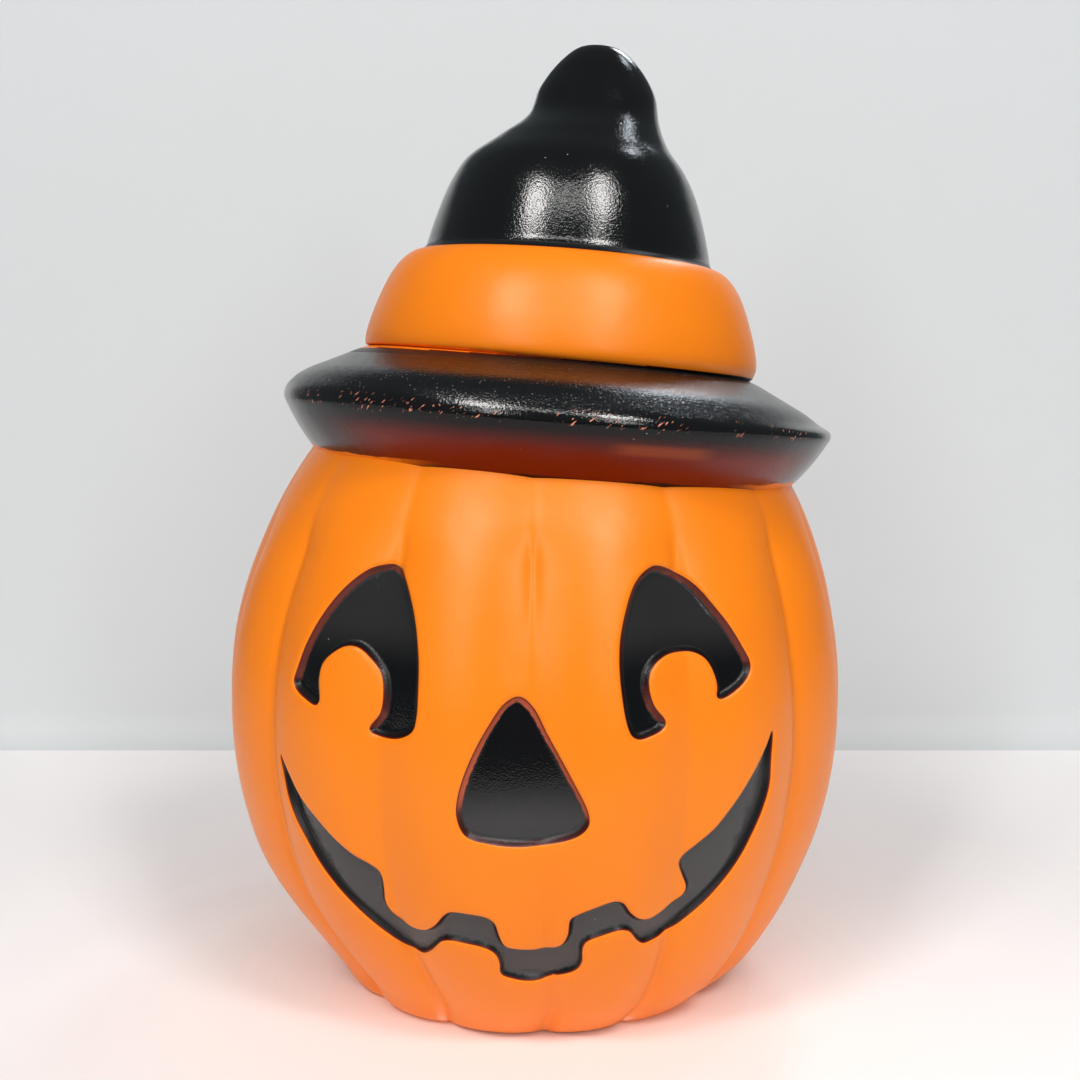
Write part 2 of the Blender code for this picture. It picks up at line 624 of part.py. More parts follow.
# Battery door, hung on its barrel
door_origin = (0.0, hinge_y, hinge_z)
door = node("battery_door", block((-door_half_length, -door_half_width, TRAY_RISE),
                                  (door_half_length, door_half_width, door_top)), tray_look, door_origin)
neck = block((-HINGE_LENGTH / 2, hinge_y, TRAY_RISE),
             (HINGE_LENGTH / 2, -door_half_width + 0.5, door_top))
shape(door, cutter("door_neck", neck), "UNION")
half = HINGE_LENGTH / 2
barrel = turned(((HINGE_PIN, -pin_half), (HINGE_PIN, -half), (HINGE_RADIUS, -half),
                 (HINGE_RADIUS, half), (HINGE_PIN, half), (HINGE_PIN, pin_half)), 14)
shape(door, cutter("door_barrel", sideways(barrel, (0.0, hinge_y, hinge_z), (1, 0, 0))), "UNION")
latch = block((-LATCH_WIDTH / 2, latch_y, door_top - 0.5), (LATCH_WIDTH / 2, door_half_width, latch_top))
shape(door, cutter("door_latch", latch), "UNION")
for step in (-1, 0, 1):
    grip = block((-6.0, door_half_width - 5.0 + 1.6 * step, 0.0),
                 (6.0, door_half_width - 4.2 + 1.6 * step, TRAY_RISE + 0.4))
    shape(door, cutter("door_grip_%d" % (step + 1), grip))

# Screws
steel = material("screw_steel", (0.55, 0.55, 0.56), 0.3, 1.0)
for number, spot in enumerate(screw_spots, 1):
    screw = turned(((SCREW_HEAD_RADIUS * 0.82, head_top - SCREW_HEAD), (SCREW_HEAD_RADIUS, head_top - 0.6),
                    (SCREW_HEAD_RADIUS, head_top), (SCREW_RADIUS, head_top),
                    (SCREW_RADIUS, head_top + SCREW_LENGTH - 1.4), (0.35, head_top + SCREW_LENGTH)), 14, spot)
    made = node("base_screw_%d" % number, screw, steel, (spot[0], spot[1], head_top))
    for turn, long_x, long_y in ((1, 1.5, 0.28), (2, 0.28, 1.5)):
        bar = block((spot[0] - long_x, spot[1] - long_y, 0.0),
                    (spot[0] + long_x, spot[1] + long_y, head_top - SCREW_HEAD + 0.6))
        shape(made, cutter("screw_cross_%d_%d" % (number, turn), bar))

# Cells, their nubs at opposite ends
plate_face = bay_half_length - GAP - PLATE
nub_end = plate_face - DIMPLE - GAP
cell_look = material("cell_jacket", (0.02, 0.05, 0.09), 0.3, 0.3)
for number, way in ((1, 1), (2, -1)):
    profile = ((cell_radius - 0.8, 0.0), (cell_radius, 0.6),
               (cell_radius, CELL_LENGTH - CELL_NUB_LENGTH - 0.8),
               (cell_radius - 0.8, CELL_LENGTH - CELL_NUB_LENGTH), (CELL_NUB_RADIUS, CELL_LENGTH - CELL_NUB_LENGTH),
               (CELL_NUB_RADIUS, CELL_LENGTH - 0.2), (CELL_NUB_RADIUS - 0.3, CELL_LENGTH))
    start = (way * (nub_end - CELL_LENGTH), way * CELL_SPACING / 2, cell_axis)
    cell = sideways(turned(profile, 20), start, (way, 0, 0))
    node("battery_cell_%d" % number, cell, cell_look, start)

# Contacts at the two ends of the box
nickel = material("contact_nickel", (0.62, 0.60, 0.55), 0.28, 1.0)
contact_low = cell_axis - CONTACT_HEIGHT / 2
contact_high = cell_axis + CONTACT_HEIGHT / 2
tab_top = box_top + SOLDER_TAB_RISE
tab_half = SOLDER_TAB_WIDTH / 2


def spring(name, way, across):
    """A conical spring standing on a contact plate, as a tool to be joined to it."""
    face = way * plate_face
    points = []
    steps = round(SPRING_TURNS * 9)
    for i in range(steps + 1):
        share = i / steps
        turn = 2 * pi * SPRING_TURNS * share
        radius = SPRING_BASE_RADIUS + (SPRING_TOP_RADIUS - SPRING_BASE_RADIUS) * share
        rise = SPRING_WIRE / 4 + (SPRING_LENGTH - SPRING_WIRE * 5 / 4) * share
        points.append(Vector((face - way * rise, across + radius * cos(turn), cell_axis + radius * sin(turn))))
    rings = []
    for i, point in enumerate(points):
        run = (points[min(i + 1, steps)] - points[max(i - 1, 0)]).normalized()
        side = run.cross(Vector((1, 0, 0))).normalized()
        up = side.cross(run)
        rings.append([point + SPRING_WIRE * (side * cos(a) + up * sin(a))
                      for a in (2 * pi * k / 5 for k in range(5))])
    return cutter(name, skin(bmesh.new(), rings))


def contact(name, way, low_y, high_y, spring_y, dimple_y, tab_y):
    """A sheet contact on one end wall, with a spring, a dimple and a solder tab where asked."""
    face, back = sorted((way * plate_face, way * (plate_face + PLATE)))
    made = node(name, block((face, low_y, contact_low), (back, high_y, contact_high)), nickel,
                (way * plate_face, 0.5 * (low_y + high_y), cell_axis))
    if tab_y is not None:
        tab = block((face, tab_y - tab_half, contact_high - PLATE), (back, tab_y + tab_half, tab_top))
        shape(made, cutter(name + "_tab", tab), "UNION")
        slot_low, slot_high = sorted((way * (plate_face - GAP), way * (plate_face + PLATE + GAP)))
        slot = block((slot_low, tab_y - tab_half - GAP, bay_top - 0.5),
                     (slot_high, tab_y + tab_half + GAP, box_top + 1.0))
        shape(tray, cutter(name + "_slot", slot))
    if dimple_y is not None:
        button = turned(((DIMPLE_RADIUS, -PLATE / 2), (DIMPLE_RADIUS * 2 / 3, DIMPLE)), 14)
        button = sideways(button, (way * plate_face, dimple_y, cell_axis), (-way, 0, 0))
        shape(made, cutter(name + "_dimple", button), "UNION")
    if spring_y is not None:
        shape(made, spring(name + "_spring", way, spring_y), "UNION")
    return made


half_spacing = CELL_SPACING / 2
edge_y = bay_half_width - GAP
contact("contact_bridge", -1, -edge_y, edge_y, half_spacing, -half_spacing, None)
split = CONTACT_SPLIT / 2
contact("contact_positive", 1, split, edge_y, None, half_spacing, half_spacing)
contact("contact_negative", 1, -edge_y, -split, -half_spacing, None, -half_spacing)

# Slide switch: case, knob on its slider, bridge strip and two terminals
case_low = tray_top + GAP
case_top = case_low + SWITCH_HEIGHT
case_look = material("switch_case", (0.04, 0.04, 0.045), 0.4)
case = node("switch_case", block((-SWITCH_LENGTH / 2, switch_y - SWITCH_WIDTH / 2, case_low),
                                 (SWITCH_LENGTH / 2, switch_y + SWITCH_WIDTH / 2, case_top)),
            case_look, (0.0, switch_y, case_low))
room_x = SWITCH_LENGTH / 2 - SWITCH_WALL
room_y = SWITCH_WIDTH / 2 - SWITCH_WALL
room_top = case_top - SWITCH_WALL
shape(case, cutter("switch_room", block((-room_x, switch_y - room_y, case_low - 1.0),
                                        (room_x, switch_y + room_y, room_top))))
knob_x = -SWITCH_TRAVEL / 2
slider_low = tray_top + GAP
slider_top = slider_low + SLIDER_HEIGHT
knob = node("switch_knob", block((knob_x - KNOB_LENGTH / 2, switch_y - KNOB_WIDTH / 2, KNOB_CLEAR),
                                 (knob_x + KNOB_LENGTH / 2, switch_y + KNOB_WIDTH / 2, slider_top)),
            material("switch_knob", (0.6, 0.6, 0.58), 0.35), (knob_x, switch_y, slider_low))
slider = block((knob_x - SLIDER_LENGTH / 2, switch_y - room_y + GAP, slider_low),
               (knob_x + SLIDER_LENGTH / 2, switch_y + room_y - GAP, slider_top))
shape(knob, cutter("knob_slider", slider), "UNION")
for step in (-1, 0, 1):
    ridge_cut = block((knob_x + 1.2 * step - 0.25, switch_y - 2.0, 0.0),
                      (knob_x + 1.2 * step + 0.25, switch_y + 2.0, KNOB_CLEAR + KNOB_GRIP))
    shape(knob, cutter("knob_ridge_%d" % (step + 1), ridge_cut))
brass = material("switch_brass", (0.60, 0.42, 0.16), 0.3, 1.0)
strip_low = slider_top + GAP
strip_top = strip_low + PLATE
node("switch_bridge", block((knob_x - SLIDER_LENGTH / 2, switch_y - BRIDGE_WIDTH / 2, strip_low),
                            (knob_x + SLIDER_LENGTH / 2, switch_y + BRIDGE_WIDTH / 2, strip_top)), brass,
     (knob_x, switch_y, strip_low))
terminal_top = case_top + TERMINAL_RISE
terminal_spots = (SWITCH_TRAVEL / 2 - TERMINAL_PITCH / 2, SWITCH_TRAVEL / 2 + TERMINAL_PITCH / 2)
half_sheet = TERMINAL_SHEET / 2
half_blade = TERMINAL_WIDTH / 2
for number, x in enumerate(terminal_spots, 1):
    blade = block((x - half_sheet, switch_y - half_blade, strip_top + GAP),
                  (x + half_sheet, switch_y + half_blade, terminal_top))
    node("switch_terminal_%d" % number, blade, brass, (x, switch_y, strip_top + GAP))
    slot = block((x - half_sheet - GAP, switch_y - half_blade - GAP, room_top - 0.5),
                 (x + half_sheet + GAP, switch_y + half_blade + GAP, case_top + 0.5))
    shape(case, cutter("terminal_slot_%d" % number, slot))

# Lamp holder on the spigot, with the socket, its centre contact and the bulb
holder_low = box_top + GAP
holder_top = holder_low + HOLDER_HEIGHT
socket_floor = holder_top - SOCKET_DEPTH
web_top = socket_floor - 1.2
web_low = web_top - HOLDER_WEB
white = material("holder_plastic", (0.75, 0.73, 0.68), 0.45)
holder = node("lamp_holder", turned((
    (HOLDER_RADIUS + HOLDER_FLANGE, holder_low), (HOLDER_RADIUS + HOLDER_FLANGE, holder_low + HOLDER_WEB),
    (HOLDER_RADIUS, holder_low + 2.5 * HOLDER_WEB), (HOLDER_RADIUS, holder_top)), 20), white,
              (0.0, 0.0, holder_low))
shape(holder, cutter("holder_bore", turned(((HOLDER_BORE, holder_low - 1.0), (HOLDER_BORE, web_low)), 18)))
shape(holder, cutter("holder_cup", turned(((HOLDER_BORE, web_top), (HOLDER_BORE, socket_floor),
                                           (SOCKET_RADIUS + GAP, socket_floor),
                                           (SOCKET_RADIUS + GAP, holder_top + 1.0)), 18)))
shape(holder, cutter("web_slot", block((-0.5, -1.3 - GAP, web_low - 1.0), (0.5, 1.3 + GAP, web_top + 0.5))))
window_low = holder_low + HOLDER_WINDOW
shape(holder, cutter("holder_window", block((-HOLDER_WINDOW / 2, 0.0, window_low),
                                            (HOLDER_WINDOW / 2, 2 * HOLDER_RADIUS, window_low + HOLDER_WINDOW))))

socket_low = socket_floor + GAP
socket_rim = holder_top + GAP
socket = node("socket_shell", tube_wall(
    ((SOCKET_RADIUS, socket_low), (SOCKET_RADIUS, socket_rim), (HOLDER_RADIUS + 0.2, socket_rim),
     (HOLDER_RADIUS + 0.2, socket_rim + SOCKET_SHEET)),
    ((SOCKET_RADIUS - SOCKET_SHEET, socket_low), (SOCKET_RADIUS - SOCKET_SHEET, socket_rim + SOCKET_SHEET)), 18),
    brass, (0.0, 0.0, socket_low))
lug_x = HOLDER_RADIUS + GAP
lug_low = socket_floor
lug = block((lug_x, -1.2, lug_low), (lug_x + SOCKET_SHEET, 1.2, socket_rim + SOCKET_SHEET))
shape(socket, cutter("socket_lug", lug), "UNION")
arm = block((HOLDER_RADIUS - 0.6, -1.2, socket_rim), (lug_x + SOCKET_SHEET, 1.2, socket_rim + SOCKET_SHEET))
shape(socket, cutter("socket_arm", arm), "UNION")

tab_foot = web_low - 3.0
disc_low = web_top + GAP
centre_tab = node("socket_tab", turned(((1.9, disc_low), (1.9, disc_low + PLATE)), 16), brass, (0.0, 0.0, disc_low))
shape(centre_tab, cutter("socket_leg", block((-0.2, -1.3, tab_foot), (0.2, 1.3, disc_low + 0.2))), "UNION")

cap_radius = SOCKET_RADIUS - SOCKET_SHEET - GAP
tip_low = disc_low + PLATE + GAP
cap_low = tip_low + 0.7
cap_top = cap_low + CAP_HEIGHT
cap_hole = 2.2
cap = tube_wall(
    ((cap_hole, cap_low), (cap_radius - 0.8, cap_low), (cap_radius, cap_low + 1.0), (cap_radius, cap_top)),
    ((cap_hole, cap_low + CAP_SHEET), (cap_radius - 0.8 - CAP_SHEET / 2, cap_low + CAP_SHEET),
     (cap_radius - CAP_SHEET, cap_low + 1.0 + CAP_SHEET / 2), (cap_radius - CAP_SHEET, cap_top)), 16)
node("bulb_cap", cap, brass, (0.0, 0.0, cap_low))
solder = material("bulb_solder", (0.5, 0.5, 0.5), 0.4, 1.0)
node("bulb_tip", turned(((1.0, tip_low), (cap_hole - GAP, tip_low + 0.5), (cap_hole - GAP, cap_low + CAP_SHEET)), 16),
     solder, (0.0, 0.0, tip_low))

neck_radius = cap_radius - CAP_SHEET - GAP
glass_low = cap_low + 2.0
glass_top = cap_top + GLASS_HEIGHT
globe = glass_top - GLASS_RADIUS
glass_outer = [(neck_radius, glass_low), (neck_radius, cap_top + 0.4), (neck_radius + 0.5, cap_top + 2.0)]
glass_outer += [(GLASS_RADIUS * cos(radians(a)), globe + GLASS_RADIUS * sin(radians(a))) for a in (-30, 0, 25, 50, 72)]
glass_inner = [(max(r - GLASS_WALL, 0.4), z - (GLASS_WALL if z > globe + 1 else 0.0)) for r, z in glass_outer]
glass = bmesh.new()
sides = 16
rise = [ring(r, z, sides) for r, z in glass_outer] + [ring(0.8, glass_top, sides)]
drop = [ring(0.5, glass_top - GLASS_WALL, sides)] + [ring(r, z, sides) for r, z in reversed(glass_inner)]
loops = [[glass.verts.new(p) for p in points] for points in rise]
inner_loops = [[glass.verts.new(p) for p in points] for points in drop]
for chain in (loops, inner_loops, [inner_loops[-1], loops[0]]):
    for low, high in zip(chain, chain[1:]):
        for i in range(sides):
            j = (i + 1) % sides
            glass.faces.new((low[i], low[j], high[j], high[i]))
glass.faces.new(loops[-1])
glass.faces.new(list(reversed(inner_loops[0])))
node("bulb_glass", glass, material("bulb_glass", (0.9, 0.9, 0.88), 0.05), (0.0, 0.0, glass_low))

bead_low = cap_top + 1.0
bead = node("bulb_bead", turned(((1.6, bead_low), (2.1, bead_low + 0.6), (2.1, bead_low + 1.6), (1.6, bead_low + 2.2)), 16),
            material("bulb_bead", (0.5, 0.6, 0.55), 0.1), (0.0, 0.0, bead_low))
wire_x = 1.2
for side in (-1, 1):
    hole = turned(((LAMP_WIRE + GAP, bead_low - 1.0), (LAMP_WIRE + GAP, bead_low + 3.0)), 10, (side * wire_x, 0.0))
    shape(bead, cutter("bead_hole_%d" % (side + 1), hole))
wire_low = cap_low + CAP_SHEET + GAP
wire_high = globe - 0.6
filament = [(-wire_x, 0.0, wire_low), (-wire_x, 0.0, bead_low + 2.6), (-wire_x - 0.7, 0.0, wire_high - 0.6)]
for i in range(9):
    angle = pi * (1 - i / 8)
    filament.append(((wire_x + 0.7) * cos(angle), 0.0, wire_high + 1.3 * sin(angle)))
filament += [(wire_x + 0.7, 0.0, wire_high - 0.6), (wire_x, 0.0, bead_low + 2.6), (wire_x, 0.0, wire_low)]
cable("bulb_filament", filament, LAMP_WIRE, solder)

# Leads, from solder tab to solder tab
contact_x = plate_face + PLATE / 2
arch = LEAD_ARCH
near, far = terminal_spots
red_route = [(contact_x, half_spacing, tab_top + GAP),
             (contact_x - 0.1 * arch, half_spacing + 0.1 * arch, tab_top + 0.6 * arch),
             (contact_x - 1.2 * arch, half_spacing + 0.9 * arch, tab_top + 0.9 * arch),
             (far + 2.0 * arch, switch_y - 1.25 * arch, tab_top + 0.5 * arch),
             (far + 0.7 * arch, switch_y - 0.3 * arch, terminal_top + 0.35 * arch),
             (far, switch_y, terminal_top + 0.45 * arch), (far, switch_y, terminal_top + GAP)]
cable("lead_red", flowing(red_route, 3), LEAD_RADIUS, material("lead_red", (0.5, 0.02, 0.015), 0.4))
window_middle = window_low + HOLDER_WINDOW / 2
white_route = [(near, switch_y, terminal_top + GAP),
               (near - 0.1 * arch, switch_y - 0.1 * arch, terminal_top + arch),
               (near - 0.2 * arch, 2.8 * arch, window_middle + 0.4 * arch), (-0.1 * arch, 1.4 * arch, window_middle),
               (0.0, 0.3 * arch, window_middle), (0.0, 0.0, window_middle + 0.4 * arch), (0.0, 0.0, tab_foot - GAP)]
cable("lead_white", flowing(white_route, 3), LEAD_RADIUS, material("lead_white", (0.7, 0.7, 0.66), 0.4))
lug_lead_x = lug_x + LEAD_RADIUS
black_route = [(contact_x, -half_spacing, tab_top + GAP),
               (contact_x - 0.1 * arch, -half_spacing - 0.1 * arch, tab_top + 0.6 * arch),
               (lug_x + 2.5 * arch, -1.6 * arch, tab_top + 1.1 * arch), (lug_x + arch, -arch, tab_top + 0.9 * arch),
               (lug_x + 0.6 * arch, -0.25 * arch, lug_low - 0.85 * arch),
               (lug_lead_x, 0.0, lug_low - 0.4 * arch), (lug_lead_x, 0.0, lug_low - GAP)]
cable("lead_black", flowing(black_route, 3), LEAD_RADIUS, material("lead_black", (0.015, 0.015, 0.015), 0.4))
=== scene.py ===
import json
import math
import bpy
import numpy as np
from mathutils import Matrix, Vector
from mathutils.geometry import delaunay_2d_cdt
from mathutils.kdtree import KDTree


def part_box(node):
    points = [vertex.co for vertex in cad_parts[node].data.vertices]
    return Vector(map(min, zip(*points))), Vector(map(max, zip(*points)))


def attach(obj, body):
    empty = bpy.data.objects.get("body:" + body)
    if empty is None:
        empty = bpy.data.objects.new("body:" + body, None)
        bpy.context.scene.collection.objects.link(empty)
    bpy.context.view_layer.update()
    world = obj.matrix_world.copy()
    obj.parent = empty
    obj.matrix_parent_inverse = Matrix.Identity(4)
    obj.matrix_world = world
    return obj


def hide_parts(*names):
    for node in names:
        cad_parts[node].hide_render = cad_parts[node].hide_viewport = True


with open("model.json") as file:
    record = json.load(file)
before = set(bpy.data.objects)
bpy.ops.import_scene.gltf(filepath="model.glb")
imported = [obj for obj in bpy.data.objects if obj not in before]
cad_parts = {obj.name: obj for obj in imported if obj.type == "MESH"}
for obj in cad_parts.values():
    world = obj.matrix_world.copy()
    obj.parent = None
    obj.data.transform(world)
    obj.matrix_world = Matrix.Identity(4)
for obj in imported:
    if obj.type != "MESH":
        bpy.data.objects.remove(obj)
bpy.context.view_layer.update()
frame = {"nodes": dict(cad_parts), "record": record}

mm = 0.001                       # the numbers below are in millimetres unless a note says otherwise
print("frame loaded,", len(frame["nodes"]), "nodes")


def deselectAll():
    if bpy.context.object and bpy.context.object.mode != "OBJECT":
        bpy.ops.object.mode_set(mode="OBJECT")
    bpy.ops.object.select_all(action="DESELECT")


def makeActive(piece):
    deselectAll()
    piece.select_set(True)
    bpy.context.view_layer.objects.active = piece


def ease(low, high, value):
    share = np.clip((np.asarray(value, float) - low) / (high - low), 0.0, 1.0)
    return share * share * (3.0 - 2.0 * share)


def hump(rise, fall, value):  # 1 from the end of rise to the start of fall, soft on both sides
    return ease(*rise, value) * (1 - ease(*fall, value))


def newPiece(name, points, edges, faces):
    mesh = bpy.data.meshes.new(name)
    mesh.from_pydata(points, edges, faces)
    piece = bpy.data.objects.new(name, mesh)
    bpy.context.scene.collection.objects.link(piece)
    return piece


def putValues(piece, name, values):  # one number for each point of the mesh, read by the materials
    layer = piece.data.attributes.new(name, "FLOAT", "POINT")
    layer.data.foreach_set("value", np.asarray(values, np.float32))


def getValues(piece, name):
    values = np.zeros(len(piece.data.vertices), np.float32)
    piece.data.attributes[name].data.foreach_get("value", values)
    return values


# Pumpkin body: its surface by turn, counted in ribs from the front crease, and height
pumpkin = {
    "radius": 71.7,              # over the rib crests at the widest height
    "widest": 65.5,
    "roundness": 1.95,
    "footRadius": 41.7,
    "footRound": 1.8,
    "seatRadius": 56.6,
    "seatHeight": 118.0,
    "topHeight": 127.0,          # hidden inside the hat
    "ribs": 14,
    "pitch": 32.2,               # width of a rib where it is widest
    "lobeDepth": 2.0,            # soft swell of each rib
    "lobePower": 2.3,
    "lobeSoft": 0.11,            # rounds the swell off in a crease
    "lobeFaint": 0.14,           # and more so in a faint one
    "lobeFoot": 0.6,             # share of the swell left at the very foot
    "lobeFootTo": 7,
    "lobeFade": 0.75,            # share of it that goes between these heights, under the brim
    "lobeFadeOver": (101, 114),
    "tuck": 0.8,                 # the side ribs draw in low down
    "tuckRibs": (1.6, 2.6),
    "tuckRise": (0, 16),
    "tuckFall": (14, 40),
    "grooveDepth": 0.64,         # narrow crease between two ribs
    "grooveWidth": 1.45,
    "grooveFaint": 0.85,         # share of it that goes where a crease is faint
    "grooveFade": 0.8,           # and between these heights
    "grooveFadeOver": (101, 112),
    "faintRibs": 1.5,            # the creases nearest to the front are faint between these heights
    "faintRise": (22, 44),
    "faintFall": (84, 102),
    "faintElse": 0.2,
    "leanTop": -1.4,             # degrees that the front crease wanders
    "leanFoot": 2.6,
    "swayTop": 1.1,              # the form leans a little at its top and its foot
    "swayTopOver": (80, 115),
    "swayFoot": 1.6,
    "swayFootOver": (10, 35),
    "swayFrom": 8,               # but not at the ring it stands on
    "wallInset": 6.2,            # crest to the plain inner wall
    "innerHeights": (125.0, 116.0, 100.0, 80.0, 60.0, 40.0, 22.0, 10.0),
    "recessRadius": 37.2,        # seat of the base tray
    "recessRound": [(0.0, 0.5), (0.2, 0.12), (0.6, 0.0)],
    "lipRadius": 33.8,
    "lipLow": 3.7,
    "lipHigh": 5.9,
}


def bodyRadius(height):
    p = pumpkin
    power = p["roundness"]
    footShare = (p["footRadius"] + p["footRound"]) / p["radius"]
    seatShare = p["seatRadius"] / p["radius"]
    drop = p["widest"] / (1 - footShare ** power) ** (1 / power)
    rise = (p["seatHeight"] - p["widest"]) / (1 - seatShare ** power) ** (1 / power)
    reach = np.where(height > p["widest"], rise, drop)
    level = np.minimum(np.abs(height - p["widest"]) / reach, 1.0)
    radius = p["radius"] * (1 - level ** power) ** (1 / power)
    low = np.clip(1 - height / p["footRound"], 0.0, 1.0)
    return radius - p["footRound"] * (1 - np.sqrt(1 - low ** 2))


def sway(height):  # how far the form stands to the right
    p = pumpkin
    top = p["swayTop"] * ease(*p["swayTopOver"], height)
    foot = p["swayFoot"] * (1 - ease(*p["swayFootOver"], height))
    return (top + foot) * ease(0, p["swayFrom"], height)


def lean(height):  # degrees that the front crease is off the middle
    p = pumpkin
    return p["leanFoot"] + (p["leanTop"] - p["leanFoot"]) * height / p["seatHeight"]


def bodyPoints(rib, height, groove=1.0, plain=0.0):  # plain evens the creases out, for the sunk floors
    p = pumpkin
    rib, height = np.broadcast_arrays(np.asarray(rib, float), np.asarray(height, float))
    off = 1 - np.abs(2 * (rib - np.floor(rib)) - 1)  # 0 in a crease, 1 on a rib's crest
    radius = bodyRadius(height)
    gap = off / 2 * p["pitch"] * radius / p["radius"]
    faint = np.where(np.abs(rib) < p["faintRibs"], hump(p["faintRise"], p["faintFall"], height), p["faintElse"])
    soft = np.maximum(p["lobeSoft"] + p["lobeFaint"] * faint, 0.5 * plain)
    off = (np.sqrt(off ** 2 + soft ** 2) - soft) / (np.sqrt(1 + soft ** 2) - soft)
    lobes = p["lobeDepth"] * (1 - off) ** p["lobePower"] * (1 - p["lobeFade"] * ease(*p["lobeFadeOver"], height))
    lobes = lobes * (p["lobeFoot"] + (1 - p["lobeFoot"]) * ease(0, p["lobeFootTo"], height))
    tuck = p["tuck"] * ease(*p["tuckRibs"], np.abs(rib)) * ease(*p["tuckRise"], height)
    lobes = lobes + tuck * (1 - ease(*p["tuckFall"], height))
    crease = p["grooveDepth"] * np.exp(-(gap / p["grooveWidth"]) ** 2)
    crease = crease * (1 - p["grooveFaint"] * faint) * (1 - p["grooveFade"] * ease(*p["grooveFadeOver"], height))
    radius = radius - lobes - groove * crease * (1 - plain)
    turn = np.radians(rib * 360 / p["ribs"] + lean(height) * np.maximum(0.0, 1 - np.abs(rib)))
    return np.stack([radius * np.sin(turn) + sway(height), -radius * np.cos(turn), height], -1)


def ribAt(points):  # the rib count of places on the body
    turn = np.degrees(np.arctan2(points[..., 0] - sway(points[..., 2]), -points[..., 1]))
    pitch = 360 / pumpkin["ribs"]
    shift = lean(points[..., 2])
    near = np.where(turn >= shift, (turn - shift) / (pitch - shift), (turn - shift) / (pitch + shift))
    return np.where(np.abs(turn) < pitch, near, turn / pitch)


def bodyNormals(rib, height):
    across = bodyPoints(rib + 0.01, height, 0.0) - bodyPoints(rib - 0.01, height, 0.0)
    along = bodyPoints(rib, height + 0.3, 0.0) - bodyPoints(rib, height - 0.3, 0.0)
    normal = np.cross(across, along)
    return normal / np.linalg.norm(normal, axis=-1, keepdims=True)


